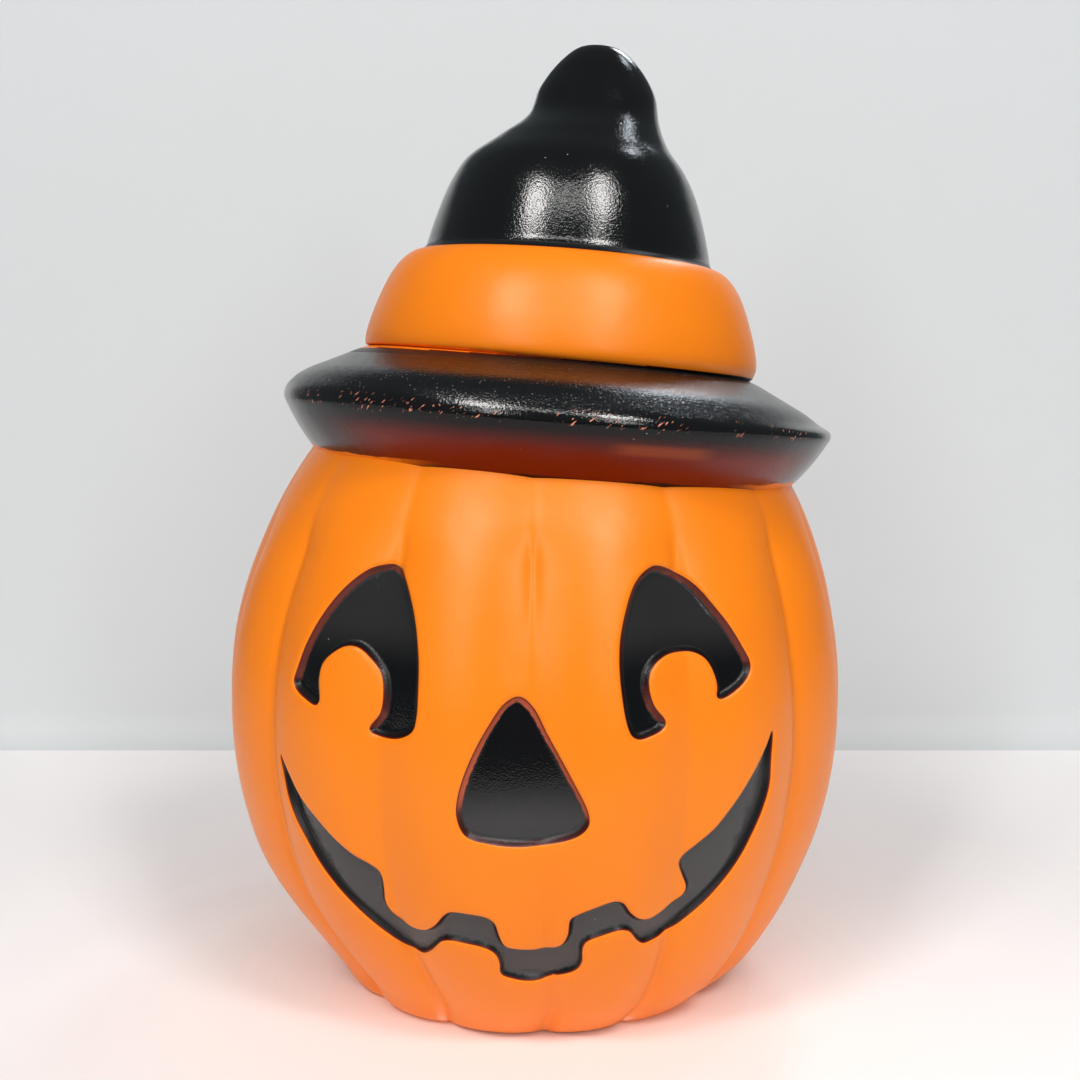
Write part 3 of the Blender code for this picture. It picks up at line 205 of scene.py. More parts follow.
# Sunk face: outlines as seen from the front, across and up
face = {
    "step": 0.45,                # spacing of the points along an outline
    "fineStep": 0.15,            # and while it is softened
    "soften": 0.45,              # how much the outlines' corners are rounded
    # depth of the floor by distance from the outline, below 0 inside it
    "sinkAt": [(1.1, 0.0), (0.7, 0.03), (0.4, 0.1), (0.2, 0.19), (0.0, 0.34), (-0.2, 0.56), (-0.4, 0.82),
               (-0.6, 1.06), (-0.8, 1.24), (-1.0, 1.35), (-1.3, 1.42), (-1.7, 1.45)],
    "rings": [1.3, 0.95, 0.65, 0.4, 0.2, 0.0, -0.18, -0.36, -0.6, -0.85, -1.1, -1.35, -1.65, -2.0],
    "window": (2.5, 12.0, 110.0),  # ribs each side, lowest and highest level of the finer mesh
    "windowRows": 76,
    "clear": (-2.4, 1.6),        # the grid keeps off the outlines by this much, inside and outside
    "floorFrom": (-0.2, -1.2),   # the creases even out over this much
    "facing": 3.0,               # ribs each side that can be sunk
    "far": 20.0,                 # stands for a place far from every outline
    "thinBy": {"eyeLeft": 0.5, "eyeRight": 0.5, "nose": 1.0, "mouth": 0.15},  # how thin the walls' paint is
    "wallShade": (-0.25, 0.45),  # the walls above an opening, which face down, get the most red-brown
    "middle": [0.0, 75.0],
    "glossFrom": (22, 32),       # this far from the middle, the mouth's outer edge gets no painted reflection and stays gloss black
    "glossWide": (1.3, 2.4),     # width of that edge, and what it gains further out
    "glossWiden": (36, 48),
    "paintedReflectionNose": 0.6,             # painted reflection: grey on the nose low down, on the eyes high up
    "paintedReflectionNoseOver": (53, 64),
    "paintedReflectionEyes": 0.32,
    "paintedReflectionEyesOver": (82, 92),
    "eyeLeft": [
        (-29.1, 102.6), (-27.5, 102.7), (-25.9, 101.5), (-23.3, 94.6), (-22.1, 86.3), (-22.1, 79.5),
        (-22.5, 74.2), (-23.3, 71.8), (-26.1, 70.1), (-29.6, 69.9), (-32.1, 71), (-29.8, 74.6),
        (-29.3, 80), (-29.9, 82.4), (-31.9, 84.9), (-34.3, 86.7), (-36.8, 86.8), (-39.3, 85.5),
        (-41.7, 83.2), (-42.6, 80.1), (-42.5, 75.5), (-43.3, 74.6), (-45.6, 75.4), (-48, 77),
        (-48.6, 78.3), (-47.6, 81.4), (-45.7, 86.2), (-42.7, 91.5), (-39.1, 96.2), (-35.4, 99.7),
        (-31.9, 101.9),
    ],
    "eyeRight": [
        (22.3, 102.5), (23.7, 102.9), (27.6, 101.4), (31.8, 98.5), (35.4, 94.5), (38.6, 90.5),
        (41.1, 86.5), (42.9, 83.1), (42.9, 81.6), (41.6, 79.5), (38.6, 77.4), (36.5, 76.6),
        (35.7, 76.9), (35.8, 79.2), (35.2, 81.5), (33.7, 84.3), (31.3, 85.9), (28.5, 86.3), (25.6, 86),
        (23.2, 84.5), (22.1, 82.3), (22.1, 80), (23.1, 76.8), (25.5, 73.3), (24.6, 72), (22.2, 71.1),
        (20.1, 70.7), (18.7, 71.4), (17.6, 74), (16.6, 79.9), (16.2, 84.9), (16.4, 89.7), (17.4, 94.4),
        (19.1, 99.3), (20.7, 101.4),
    ],
    "nose": [
        (-2.6, 79.2), (-0.1, 77.1), (2.4, 72.3), (7, 63.9), (10.4, 56.7), (10.4, 54.2), (8.5, 52.2),
        (3.4, 50.4), (-2.2, 49.8), (-8.3, 50.6), (-13, 52.1), (-14.7, 55.7), (-14.5, 59.9),
        (-12.1, 67.1), (-8.4, 74), (-5.2, 78.2),
    ],
    "mouth": [
        (-52.4, 62.5), (-50.1, 59.2), (-47.3, 54.9), (-43.3, 50.8), (-39.5, 47.3), (-35.8, 44.6),
        (-32.6, 43), (-30.6, 41.4), (-30, 38.3), (-29.8, 34.5), (-28.3, 31.7), (-25, 29.6), (-22, 29.6),
        (-19.9, 31.2), (-17.7, 34.3), (-16.5, 35.2), (-12.6, 35.1), (-9.1, 34.4), (-7.6, 33),
        (-6.8, 30.1), (-5.7, 27.6), (-3.7, 26.8), (2.2, 26.3), (5.1, 27.3), (6.5, 29.9), (7, 33.8),
        (8, 34.7), (12.8, 36.9), (15.9, 37.8), (17.5, 37.2), (19.1, 34.6), (21.2, 32.7), (23.3, 32.4),
        (26.6, 34), (30, 36.6), (30.3, 38.2), (29.4, 41.1), (28.7, 43.9), (29.4, 45.3), (32.6, 47.9),
        (35.7, 50.5), (38.9, 54.3), (42.2, 58.7), (44.8, 62.7), (46.6, 66), (48, 68.9), (47.8, 62.8),
        (47.6, 57.4), (46.2, 52.6), (44.1, 47.9), (41.3, 42.7), (38.1, 38.4), (34.5, 34.3), (30.9, 31),
        (27, 27.9), (23.6, 26.7), (21.9, 26.5), (20.6, 27.6), (18.9, 30.2), (17.3, 30.8), (13.7, 30),
        (10.2, 28.4), (9.6, 26.9), (9.5, 23.3), (8.3, 21.1), (5.2, 19.5), (1.2, 18.1), (-1.8, 18.2),
        (-4.6, 19.1), (-6.6, 20.2), (-6.9, 23.5), (-7.7, 25.6), (-9.6, 27), (-13.6, 27.9),
        (-16.8, 28.2), (-18.4, 27.6), (-20.7, 24.6), (-22.5, 23), (-24.7, 23.1), (-28.6, 25.8),
        (-32.6, 29.1), (-36.6, 32.9), (-40.3, 36.8), (-43.6, 41), (-46.5, 45.7), (-49.2, 50.2),
        (-50.7, 54.1), (-51.5, 58.2),
    ],
}


def smoothRun(corners, gaps, shares):  # from the second of four corners to the third
    a, b, c, d = corners
    before, here, after = gaps
    slopeB = ((c - b) / here - (c - a) / (here + before) + (b - a) / before) * here
    slopeC = ((d - c) / after - (d - b) / (after + here) + (c - b) / here) * here
    return [(2 * t**3 - 3 * t**2 + 1) * b + (t**3 - 2 * t**2 + t) * slopeB
            + (3 * t**2 - 2 * t**3) * c + (t**3 - t**2) * slopeC for t in shares]


def closedCurve(corners):  # a smooth closed curve through the corners
    keys = np.array(corners, float)
    count = len(keys)
    gaps = np.linalg.norm(np.roll(keys, -1, 0) - keys, axis=1) ** 0.5
    curve = []
    for i in range(count):
        four = [keys[(i + k) % count] for k in (-1, 0, 1, 2)]
        curve += smoothRun(four, (gaps[i - 1], gaps[i], gaps[(i + 1) % count]), np.arange(0, 1, 0.05))
    return np.array(curve)


def onBody(flat):  # lifts places given across and up onto the body's front
    rib = flat[:, 0] / pumpkin["pitch"]
    for _ in range(30):
        miss = flat[:, 0] - bodyPoints(rib, flat[:, 1], 0.0)[:, 0]
        slope = (bodyPoints(rib + 0.01, flat[:, 1], 0.0)[:, 0] - bodyPoints(rib - 0.01, flat[:, 1], 0.0)[:, 0]) / 0.02
        rib = rib + miss / np.maximum(slope, 4.0)
    return np.stack([rib, flat[:, 1]], -1)


def evenly(spots, step):  # rib and height pairs spread evenly along their loop on the body
    loop = np.vstack([spots, spots[:1]])
    solid = bodyPoints(loop[:, 0], loop[:, 1], 0.0)
    run = np.concatenate([[0], np.cumsum(np.linalg.norm(np.diff(solid, axis=0), axis=1))])
    count = int(round(run[-1] / step))
    marks = np.linspace(0, run[-1], count, endpoint=False)
    return np.stack([np.interp(marks, run, loop[:, 0]), np.interp(marks, run, loop[:, 1])], -1)


def softened(spots, reach, step):  # rounds the corners of a loop off
    wide = int(3 * reach / step) + 1
    weights = np.exp(-0.5 * (np.arange(-wide, wide + 1) * step / reach) ** 2)
    weights /= weights.sum()
    return sum(w * np.roll(spots, k, 0) for k, w in zip(range(-wide, wide + 1), weights))


outlines = {}
for name in ("eyeLeft", "eyeRight", "nose", "mouth"):
    fine = evenly(onBody(closedCurve(face[name])), face["fineStep"])
    spots = evenly(softened(fine, face["soften"], face["fineStep"]), face["step"])
    solid = bodyPoints(spots[:, 0], spots[:, 1], 0.0)
    along = np.roll(solid, -1, 0) - np.roll(solid, 1, 0)
    outward = np.cross(along, bodyNormals(spots[:, 0], spots[:, 1]))
    outward /= np.linalg.norm(outward, axis=1, keepdims=True)
    flat = solid[:, [0, 2]]
    area = np.sum(flat[:, 0] * np.roll(flat[:, 1], -1) - np.roll(flat[:, 0], -1) * flat[:, 1])
    if area < 0:
        outward = -outward
    outlines[name] = {"spots": spots, "solid": solid, "outward": outward}
print("face outlines ready")


def insideOf(spots, loop):  # which places lie inside a closed outline
    x, y = spots[:, 0] * pumpkin["pitch"], spots[:, 1]
    inside = np.zeros(len(spots), bool)
    corners = loop * [pumpkin["pitch"], 1]
    for (x0, y0), (x1, y1) in zip(corners, np.roll(corners, -1, 0)):
        if y0 != y1:
            crosses = (y0 > y) != (y1 > y)
            inside ^= crosses & (x < x0 + (y - y0) * (x1 - x0) / (y1 - y0))
    return inside


outlineSolid = np.vstack([o["solid"] for o in outlines.values()])
outlineOut = np.vstack([o["outward"] for o in outlines.values()])
outlineOwner = np.concatenate([np.full(len(o["solid"]), k) for k, o in enumerate(outlines.values())])
outlineNext, outlineLast = (np.vstack([np.roll(o["solid"], k, 0) for o in outlines.values()]) for k in (-1, 1))
outlineTree = KDTree(len(outlineSolid))
for k, point in enumerate(outlineSolid):
    outlineTree.insert(point, k)
outlineTree.balance()


def toSegments(points, starts, ends):  # distance of each point to its own segment
    run = ends - starts
    share = np.clip(np.sum((points - starts) * run, 1) / np.sum(run * run, 1), 0, 1)
    return np.linalg.norm(points - starts - share[:, None] * run, axis=1)


def toOutlines(spots):  # distance to the nearest outline, below 0 inside it, and which sample is nearest
    solid = bodyPoints(spots[:, 0], spots[:, 1], 0.0)
    near = np.array([outlineTree.find(p)[1] for p in solid])
    here = outlineSolid[near]
    gap = np.minimum(toSegments(solid, here, outlineNext[near]), toSegments(solid, here, outlineLast[near]))
    inside = np.zeros(len(spots), bool)
    for o in outlines.values():
        inside |= insideOf(spots, o["spots"])
    return np.where(inside, -gap, gap), near


ringSpots = []                   # rings of places beside each outline, less those that another ring meets
for o in outlines.values():
    for offset in face["rings"]:
        moved = o["solid"] + offset * o["outward"]
        spots = np.stack([ribAt(moved), moved[:, 2]], -1)
        if offset == 0:
            spots = o["spots"]
        elif abs(offset) > 1.2:  # half as many will do further off
            spots = spots[::2]
        gap, _ = toOutlines(spots)
        ringSpots.append(spots[np.abs(gap - offset) < 0.04 + 0.02 * abs(offset)])
ringSpots = np.vstack(ringSpots)

# The ribs' grid: columns bunch up at the creases, rows follow the height
marks = [0, 0.011, 0.022, 0.035, 0.05, 0.07, 0.1, 0.14, 0.19, 0.25, 0.31, 0.37, 0.435, 0.5]
marks += [1 - m for m in marks[-2:0:-1]]
footLevels = [0, 0.12, 0.35, 0.7, 1.15, 1.8, 2.7, 3.8, 5.2, 6.8, 8.6, 10.3]
ribs = np.array([k + m for k in range(-7, 7) for m in marks])
wide, windowLow, windowHigh = face["window"]
levels = np.concatenate([footLevels, np.linspace(windowLow, windowHigh, face["windowRows"]),
                         np.linspace(windowHigh + 1.4, pumpkin["topHeight"], 11)])
rowGrid, columnGrid = np.meshgrid(levels, ribs, indexing="ij")
inWindow = (rowGrid > windowLow) & (rowGrid < windowHigh) & (np.abs(columnGrid) < wide)
gridSpots = np.stack([columnGrid[inWindow], rowGrid[inWindow]], -1)
gap, _ = toOutlines(gridSpots)
gridSpots = gridSpots[(gap > face["clear"][1]) | (gap < face["clear"][0])]

# In the window before the face, one triangulation joins the grid, the rings and the outlines
ids = -np.ones(rowGrid.shape, int)
kept = ~inWindow
ids[kept] = np.arange(kept.sum())
outerSpots = np.stack([columnGrid[kept], rowGrid[kept]], -1)
edge = kept & (rowGrid >= windowLow) & (rowGrid <= windowHigh) & (np.abs(columnGrid) <= wide)
edgeIds = ids[edge]
fillSpots = np.vstack([np.stack([columnGrid[edge], rowGrid[edge]], -1), ringSpots, gridSpots])
flat = fillSpots * [pumpkin["pitch"], 1.0]
_, _, triangles, origins, _, _ = delaunay_2d_cdt([Vector(p) for p in flat], [], [], 0, 1e-5, True)
pointIds, windowSpots = [], []
for origin in origins:
    first = origin[0]
    if first < len(edgeIds):
        pointIds.append(int(edgeIds[first]))
    else:
        pointIds.append(len(outerSpots) + len(windowSpots))
        windowSpots.append(fillSpots[first])
allSpots = np.vstack([outerSpots, windowSpots])
gap, near = toOutlines(allSpots)
gap = np.where(np.abs(allSpots[:, 0]) < face["facing"], gap, face["far"])
sinkKeys = sorted(face["sinkAt"])
sink = np.interp(gap, [k for k, _ in sinkKeys], [d for _, d in sinkKeys])
inside = ease(*face["floorFrom"], gap)[:, None]
skinPoints = bodyPoints(allSpots[:, 0], allSpots[:, 1]) * (1 - inside)
skinPoints += bodyPoints(allSpots[:, 0], allSpots[:, 1], 0.0, 1.0) * inside
skinPoints = skinPoints - sink[:, None] * bodyNormals(allSpots[:, 0], allSpots[:, 1])

# The inner wall, the turned-in lip and the tray's seat, down to the ring that it stands on
p = pumpkin
rows = list(ids)
innerRows = [(None, z) for z in p["innerHeights"]]
innerRows += [(p["lipRadius"], p["lipHigh"]), (p["lipRadius"], p["lipLow"]), (p["recessRadius"], p["lipLow"])]
innerRows += [(p["recessRadius"] + out, z) for out, z in p["recessRound"]]
innerPoints = []
turn = np.radians(ribs * 360 / p["ribs"] + lean(0.0) * np.maximum(0.0, 1 - np.abs(ribs)))
for radius, height in innerRows:
    shift = 0.0 if radius else sway(height)
    radius = radius or bodyRadius(height) - p["wallInset"]
    rows.append(len(skinPoints) + len(innerPoints) + np.arange(len(ribs)))
    innerPoints += list(np.stack([radius * np.sin(turn) + shift, -radius * np.cos(turn),
                                  np.full(len(ribs), height)], -1))
faces = []
windowRows = range(int(np.argmax(levels >= windowLow)), int(np.argmax(levels >= windowHigh)))
windowColumns = range(int(np.argmax(ribs >= -wide)), int(np.argmax(ribs >= wide)))
for i, (low, high) in enumerate(zip(rows, rows[1:] + rows[:1])):
    for j in range(len(ribs)):
        if i in windowRows and j in windowColumns:
            continue
        k = (j + 1) % len(ribs)
        faces.append((int(low[j]), int(low[k]), int(high[k]), int(high[j])))
for triangle in triangles:
    faces.append(tuple(pointIds[k] for k in triangle))
allPoints = np.vstack([skinPoints, innerPoints]) * mm
lanternBody = newPiece("lanternBody", allPoints.tolist(), [], faces)
lanternBody.data.shade_smooth()


def putOnSkin(name, values, within):  # and one value for all the inner wall
    putValues(lanternBody, name, np.concatenate([values, np.full(len(innerPoints), within)]))


# What the paint reads: distance inside the outlines, thin places, where the painted reflection goes, and height over
# the hat's seat
beyond, upward = np.abs(skinPoints[:, 0]), skinPoints[:, 2]
owner = np.array(list(outlines))[outlineOwner[near]]
thin = np.array([face["thinBy"][name] for name in outlines])[outlineOwner[near]]
under = ease(*face["wallShade"], outlineOut[near][:, 2])
putOnSkin("paint", -gap, -face["far"])
putOnSkin("thin", thin * (0.25 + 0.75 * under), 0.0)
putOnSkin("foot", np.full(len(skinPoints), 60.0), 60.0)  # well clear of all that the brim's paint does
outwards = skinPoints[:, [0, 2]] - face["middle"]
outwards /= np.maximum(np.linalg.norm(outwards, axis=1, keepdims=True), 1e-3)
outer = ease(0.0, 0.35, np.sum(outwards * outlineOut[near][:, [0, 2]], 1)) * ease(*face["glossFrom"], beyond)
glossWide = face["glossWide"][0] + face["glossWide"][1] * ease(*face["glossWiden"], beyond)
gloss = outer * (1 - ease(0.75 * glossWide, 1.25 * glossWide, -gap))
# painted reflection: grey for the floor mirrored in the mouth but for its outer edge, in the nose low down and in the
# eyes high up
paintedReflection = (owner == "mouth") * (1 - gloss)
paintedReflection += (owner == "nose") * face["paintedReflectionNose"] * (1 - ease(*face["paintedReflectionNoseOver"], upward))
paintedReflection += np.char.startswith(owner, "eye") * face["paintedReflectionEyes"] * ease(*face["paintedReflectionEyesOver"], upward)
putOnSkin("paintedReflection", paintedReflection, 0.0)
print("pumpkin body,", len(faces), "faces")

# Hat: outline as radius and height above the seat, turned round the hat's own axis
hat = {
    "steps": 144,
    "tilt": 4.4,
    "offset": 3.9,
    "wall": 2.0,
    "brim": [(50.5, -5.0), (54.1, -0.6), (55.1, 1.0), (57.4, 3.7), (59.9, 7.2), (62.0, 10.8), (62.9, 12.7),
             (62.6, 14.2), (61.1, 15.7), (57.4, 18.3), (53.2, 20.4), (49.4, 22.3), (46.4, 23.8), (44.6, 24.5),
             (43.7, 24.7)],
    "brimFrom": 45,              # what stands out further than this is the brim
    "band": [(43.9, 24.75), (44.6, 25.1), (45.1, 26.0), (45.2, 27.4), (44.9, 29.4), (44.2, 32.2),
             (43.1, 35.6), (41.7, 39.3), (40.1, 42.6), (38.3, 45.2), (36.5, 46.9), (34.9, 47.7), (33.9, 47.7)],
    "lip": 24.85,                # lower edge of the bare band
    "innerFoot": [46.0, -5.0, 0.0],
    "innerPaint": (32.0, 3),     # nearer to the axis than this, less towards the top, nothing is left bare
    "innerPaintOver": (25, 45),
    "paintedBelow": 20,          # the brim is painted all over
    "frontReach": 1.2,           # the brim's edge stands out further at the front and the back
    "frontReachOver": ((1.5, 12.5), (18.5, 24.2)),
    "frontCrest": 1.5,           # and its upper side is fuller there
    "frontCrestOver": ((13.5, 18.0), (18.0, 24.2)),
    "extraTilt": 0.02,           # the brim's upper side leans a little more than the rest
    "extraTiltOver": ((13, 17), (24.5, 26)),
    "underShift": 0.35,          # its underside sits a little to the right
    "underShiftOver": (12, 16),
    "crown": [(1.0, 0.0, 0.0), (0.935, 0.17, 0.0), (0.848, 0.335, 0.0), (0.758, 0.44, 0.03), (0.6, 0.545, 0.35),
              (0.461, 0.66, 0.92), (0.408, 0.785, 1.0), (0.29, 0.905, 1.0), (0.15, 0.98, 0.95), (0.0, 1.0, 0.95)],
    "crownRadius": 33.6,
    "crownTrim": 0.5,
    "crownHeight": 49.5,
    "knobShift": 3.7,
    "knobFlat": 0.26,            # the knob is pressed flatter from the front
    "knobFlatOver": (27, 43),    # above the crown's foot
}


def spinRound(piece, steps, centre, axis):  # turns an outline into a closed form
    makeActive(piece)
    bpy.ops.object.mode_set(mode="EDIT")
    bpy.ops.mesh.select_all(action="SELECT")
    bpy.ops.mesh.spin(steps=steps, angle=2 * math.pi, center=centre, axis=axis)
    bpy.ops.mesh.select_all(action="SELECT")
    bpy.ops.mesh.remove_doubles(threshold=0.00001)
    bpy.ops.mesh.normals_make_consistent(inside=False)
    bpy.ops.object.mode_set(mode="OBJECT")


def openCurve(corners, pieces):  # a smooth open curve through the corners
    keys = np.array(corners, float)
    ends = np.vstack([2 * keys[0] - keys[1], keys, 2 * keys[-1] - keys[-2]])
    curve = []
    for a, b, c, d in zip(ends, ends[1:], ends[2:], ends[3:]):
        gaps = [max(np.linalg.norm(v) ** 0.5, 1e-3) for v in (b - a, c - b, d - c)]
        curve += smoothRun((a, b, c, d), gaps, np.arange(pieces) / pieces)
    return curve + [keys[-1]]


crownFoot = hat["band"][-1][1]
crownKeys = []                   # radius, height, and how far the knob's lean carries it
for share, rise, aside in hat["crown"]:
    radius = share * hat["crownRadius"] - hat["crownTrim"] * min(1.0, 4 * share)
    crownKeys.append((radius, crownFoot + rise * hat["crownHeight"], aside * hat["knobShift"]))
profile = openCurve([(r, z, 0) for r, z in hat["brim"]], 3) + openCurve([(r, z, 0) for r, z in hat["band"]], 3)
profile += openCurve(crownKeys, 6)[1:]
profile = np.array(profile)
profile[-1, 0] = 0.0
along = np.gradient(profile[:, :2], axis=0)
side = np.stack([-along[:, 1], along[:, 0]], -1)
side /= np.linalg.norm(side, axis=1, keepdims=True)
inner = profile.copy()
inner[:, :2] += side * hat["wall"]
inner = inner[(inner[:, 0] > 3) & (profile[:, 1] > 6)][::-4]  # every fourth, clear of the axis and the foot
innerTop = [0.0, crownFoot + hat["crownHeight"] - hat["wall"], inner[0, 2]]
inner = np.vstack([innerTop, inner, hat["innerFoot"]])
section = np.vstack([profile[::-1], inner[::-1]])  # from the tip down the outside, then back up the inside
corners = [(r * mm, 0, z * mm) for r, z, _ in section]
witchHat = newPiece("witchHat", corners, [(k, k + 1) for k in range(len(corners) - 1)], [])
hatMesh = witchHat.data
spinRound(witchHat, hat["steps"], (0, 0, 0), (0, 0, 1))

# The spun form is pulled out of round: brim, crown's lean and knob
spots = np.array([v.co for v in hatMesh.vertices]) / mm
reach = np.hypot(spots[:, 0], spots[:, 1])
level = spots[:, 2]              # stays with the heights as they change
onBrim = reach > hat["brimFrom"]
shiftCurve = profile[profile[:, 1] > crownFoot]
shiftAt = np.interp(level, shiftCurve[:, 1], shiftCurve[:, 2], left=0.0)
spots[:, 2] -= hat["extraTilt"] * spots[:, 0] * hump(*hat["extraTiltOver"], level)
bulge = hat["frontReach"] * hump(*hat["frontReachOver"], level)
bulge = np.where(onBrim, bulge, 0)[:, None] * (spots[:, 1:2] / np.maximum(reach, 1)[:, None]) ** 2
spots[:, :2] += spots[:, :2] / np.maximum(reach, 1)[:, None] * bulge
crest = hat["frontCrest"] * hump(*hat["frontCrestOver"], level) * onBrim
spots[:, 2] += crest * (spots[:, 1] / np.maximum(reach, 1)) ** 2
spots[:, 0] += shiftAt + hat["underShift"] * (1 - ease(*hat["underShiftOver"], level))
knobLow, knobHigh = (crownFoot + rise for rise in hat["knobFlatOver"])
spots[:, 1] *= 1 - hat["knobFlat"] * ease(knobLow, knobHigh, level)
hatMesh.vertices.foreach_set("co", (spots * mm).astype(np.float32).ravel())
hatMesh.shade_smooth()
paint = np.maximum(hat["lip"] - level, level - crownFoot)
within = reach < hat["innerPaint"][0] - hat["innerPaint"][1] * ease(*hat["innerPaintOver"], level)
paint[within] = np.abs(paint[within])
putValues(witchHat, "paint", np.where(level < hat["paintedBelow"], face["far"], paint))
putValues(witchHat, "thin", np.zeros(len(paint)))
putValues(witchHat, "foot", level)
putValues(witchHat, "around", np.degrees(np.arctan2(spots[:, 0], -spots[:, 1])))
putValues(witchHat, "paintedReflection", np.zeros(len(paint)))
hatMesh.transform(Matrix.Translation((hat["offset"] * mm, 0, pumpkin["seatHeight"] * mm))
                  @ Matrix.Rotation(math.radians(hat["tilt"]), 4, "Y"))
print("hat,", len(hatMesh.polygons), "faces")

for piece in (lanternBody, witchHat):
    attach(piece, "lantern")
    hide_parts("shell")


class Shader:  # a short way to write a node material
    def __init__(self, name):
        self.material = bpy.data.materials.new(name)
        self.material.use_nodes = True
        self.tree = self.material.node_tree
        self.surface = self.tree.nodes["Principled BSDF"]

    def put(self, socket, value):
        if isinstance(value, bpy.types.NodeSocket):
            self.tree.links.new(value, socket)
        elif value is not None:
            socket.default_value = value

    def add(self, kind, settings=None, **inputs):
        node = self.tree.nodes.new(kind)
        for key, value in (settings or {}).items():
            setattr(node, key, value)
        for key, value in inputs.items():
            spot = int(key[1:]) if key[0] == "i" and key[1:].isdigit() else key
            self.put(node.inputs[spot], value)
        return node

    def math(self, operation, a, b=0.5):
        return self.add("ShaderNodeMath", {"operation": operation}, i0=a, i1=b).outputs[0]

    def plus(self, a, b):
        return self.math("ADD", a, b)

    def minus(self, a, b):
        return self.math("SUBTRACT", a, b)

    def times(self, a, b):
        return self.math("MULTIPLY", a, b)

    def between(self, low, high, value):  # 0 below low, 1 above high, soft in between
        node = self.add("ShaderNodeMapRange", {"interpolation_type": "SMOOTHSTEP"}, i0=value, i1=low, i2=high)
        return node.outputs[0]

    def hump(self, rise, fall, value):  # as the function of that name
        return self.times(self.between(*rise, value), self.minus(1.0, self.between(*fall, value)))

    def value(self, name):  # a number that the mesh carries at each point
        return self.add("ShaderNodeAttribute", {"attribute_name": name}).outputs["Fac"]

    def mix(self, share, a, b):
        node = self.add("ShaderNodeMix", {"data_type": "RGBA"}, i0=share)
        self.put(node.inputs[6], a)
        self.put(node.inputs[7], b)
        return node.outputs[2]

    def blend(self, share, a, b):
        node = self.add("ShaderNodeMix", {"data_type": "FLOAT"}, i0=share)
        self.put(node.inputs[2], a)
        self.put(node.inputs[3], b)
        return node.outputs[0]

    def place(self):
        return self.add("ShaderNodeTexCoord").outputs["Object"]

    def noise(self, scale, detail, where=None):
        node = self.add("ShaderNodeTexNoise", Scale=scale, Detail=detail, Roughness=0.5)
        self.tree.links.new(where or self.place(), node.inputs["Vector"])
        return node.outputs["Fac"]

    def specks(self, scale, size, least):  # a round speck in each cell whose chance is above the least
        cells = self.add("ShaderNodeTexVoronoi", Scale=scale)
        self.tree.links.new(self.place(), cells.inputs["Vector"])
        chance = self.add("ShaderNodeSeparateColor", i0=cells.outputs["Color"]).outputs[0]
        return self.times(self.math("LESS_THAN", cells.outputs["Distance"], size),
                          self.math("GREATER_THAN", chance, least))

    def bump(self, height, distance, strength, normal=None):
        node = self.add("ShaderNodeBump", Strength=strength, Distance=distance, Height=height)
        if normal:
            self.tree.links.new(normal, node.inputs["Normal"])
        return node.outputs[0]

    def finish(self, **inputs):
        for key, value in inputs.items():
            self.put(self.surface.inputs[key.replace("_", " ")], value)
        return self.material


# Shell finishes: satin orange plastic, and gloss black paint in the face and on the hat
orangePlastic = {
    "colour": (0.90, 0.226, 0.006, 1),
    "cloudColour": (0.88, 0.205, 0.005, 1),
    "clouds": 38,                # patches in a metre
    "rough": 0.37,
    "roughSpread": 0.14,
    "index": 1.4,
    "shine": (1, 0.96, 0.8, 1),  # tints the reflections, strongest seen at the edges
    "grain": 2600,
    "grainRelief": 0.00004,      # in metres
}
ripple = {"scale": 70, "relief": 0.0006}  # slow unevenness of the blown wall, in metres
blackPaint = {
    "colour": (0.0035, 0.0035, 0.004, 1),
    "paintedReflectionColour": (0.056, 0.055, 0.056, 1),  # painted reflection: grey that stands in for the floor mirrored in the mouth, the low nose and the high eyes
    "edge": (0.12, 0.003, 0.001, 1),         # laid thinly over orange
    "ragged": 0.7,                           # how far the paint's edge wanders
    "wallRed": (0.06, 0.009, 0.007, 1),      # red-brown on the walls, most on those above an opening
    "wallOrange": (0.46, 0.085, 0.035, 1),
    "rough": 0.12,
    "roughSpread": 0.1,
    "edgeRough": 0.34,
    "upperRough": 0.1,                       # what the brim's upper side gains
    "faceIndex": 1.37,
    "hatIndex": 1.5,
    "underIndex": 1.33,
    "line": (-0.03, 0.02),                   # least and most that a painted face has at its corners
    "dust": (0.3, 0.26, 0.24, 1),
    "dustScale": 420.0,
    "dustSize": 0.06,
    "dustLeast": 0.88,
    "sprayScale": 1100.0,                    # finer specks on the brim's upper side, in patches
    "spraySize": 0.17,
    "sprayShare": 0.4,
    # heights above the hat's seat
    "ridge": 12.7,                           # the brim's edge
    "upperSide": ((14.5, 16.5), (23.0, 24.5)),
    "ridgeBand": ((11.2, 12.4), (14.0, 15.6)),
    "paintedUnderReflectionFall": (6.0, 11.5),
    "seamFrom": (1.4, 1.8),
    "bareFrom": (2.2, 2.4),
    "patchRise": (6.4, 7.6),
    "patchFall": (8.4, 9.8),
    # degrees round the hat's axis, 0 in front
    "facing": 8.0,                           # the middle of what the underside carries
    "paintedUnderReflectionSides": (42, 62),                   # painted reflection in the middle, bare plastic at the sides
    "bareSides": (30, 50),
    "patchAround": ((8, 14), (25, 32)),
    "wornTo": (-2, 8),                       # the ridge is mostly worn on the left
    "paintedUnderReflection": (0.19, 0.010, 0.0005, 1),   # painted reflection: the orange pumpkin's brown glow on the brim's underside
    "patch": (0.30, 0.05, 0.004, 1),         # a lighter orange-brown spot on it, right of the middle
    "seam": (0.02, 0.001, 0.001, 1),         # a dark, wavy line where brim and pumpkin meet
    "scratch": (0.85, 0.30, 0.18, 1),        # the orange shows through along the brim's edge
    "stroke": (0.635, 0.67),                 # the less, the more scratches
    "worn": (0.46, 0.56),                    # and the longer the worn stretches
}


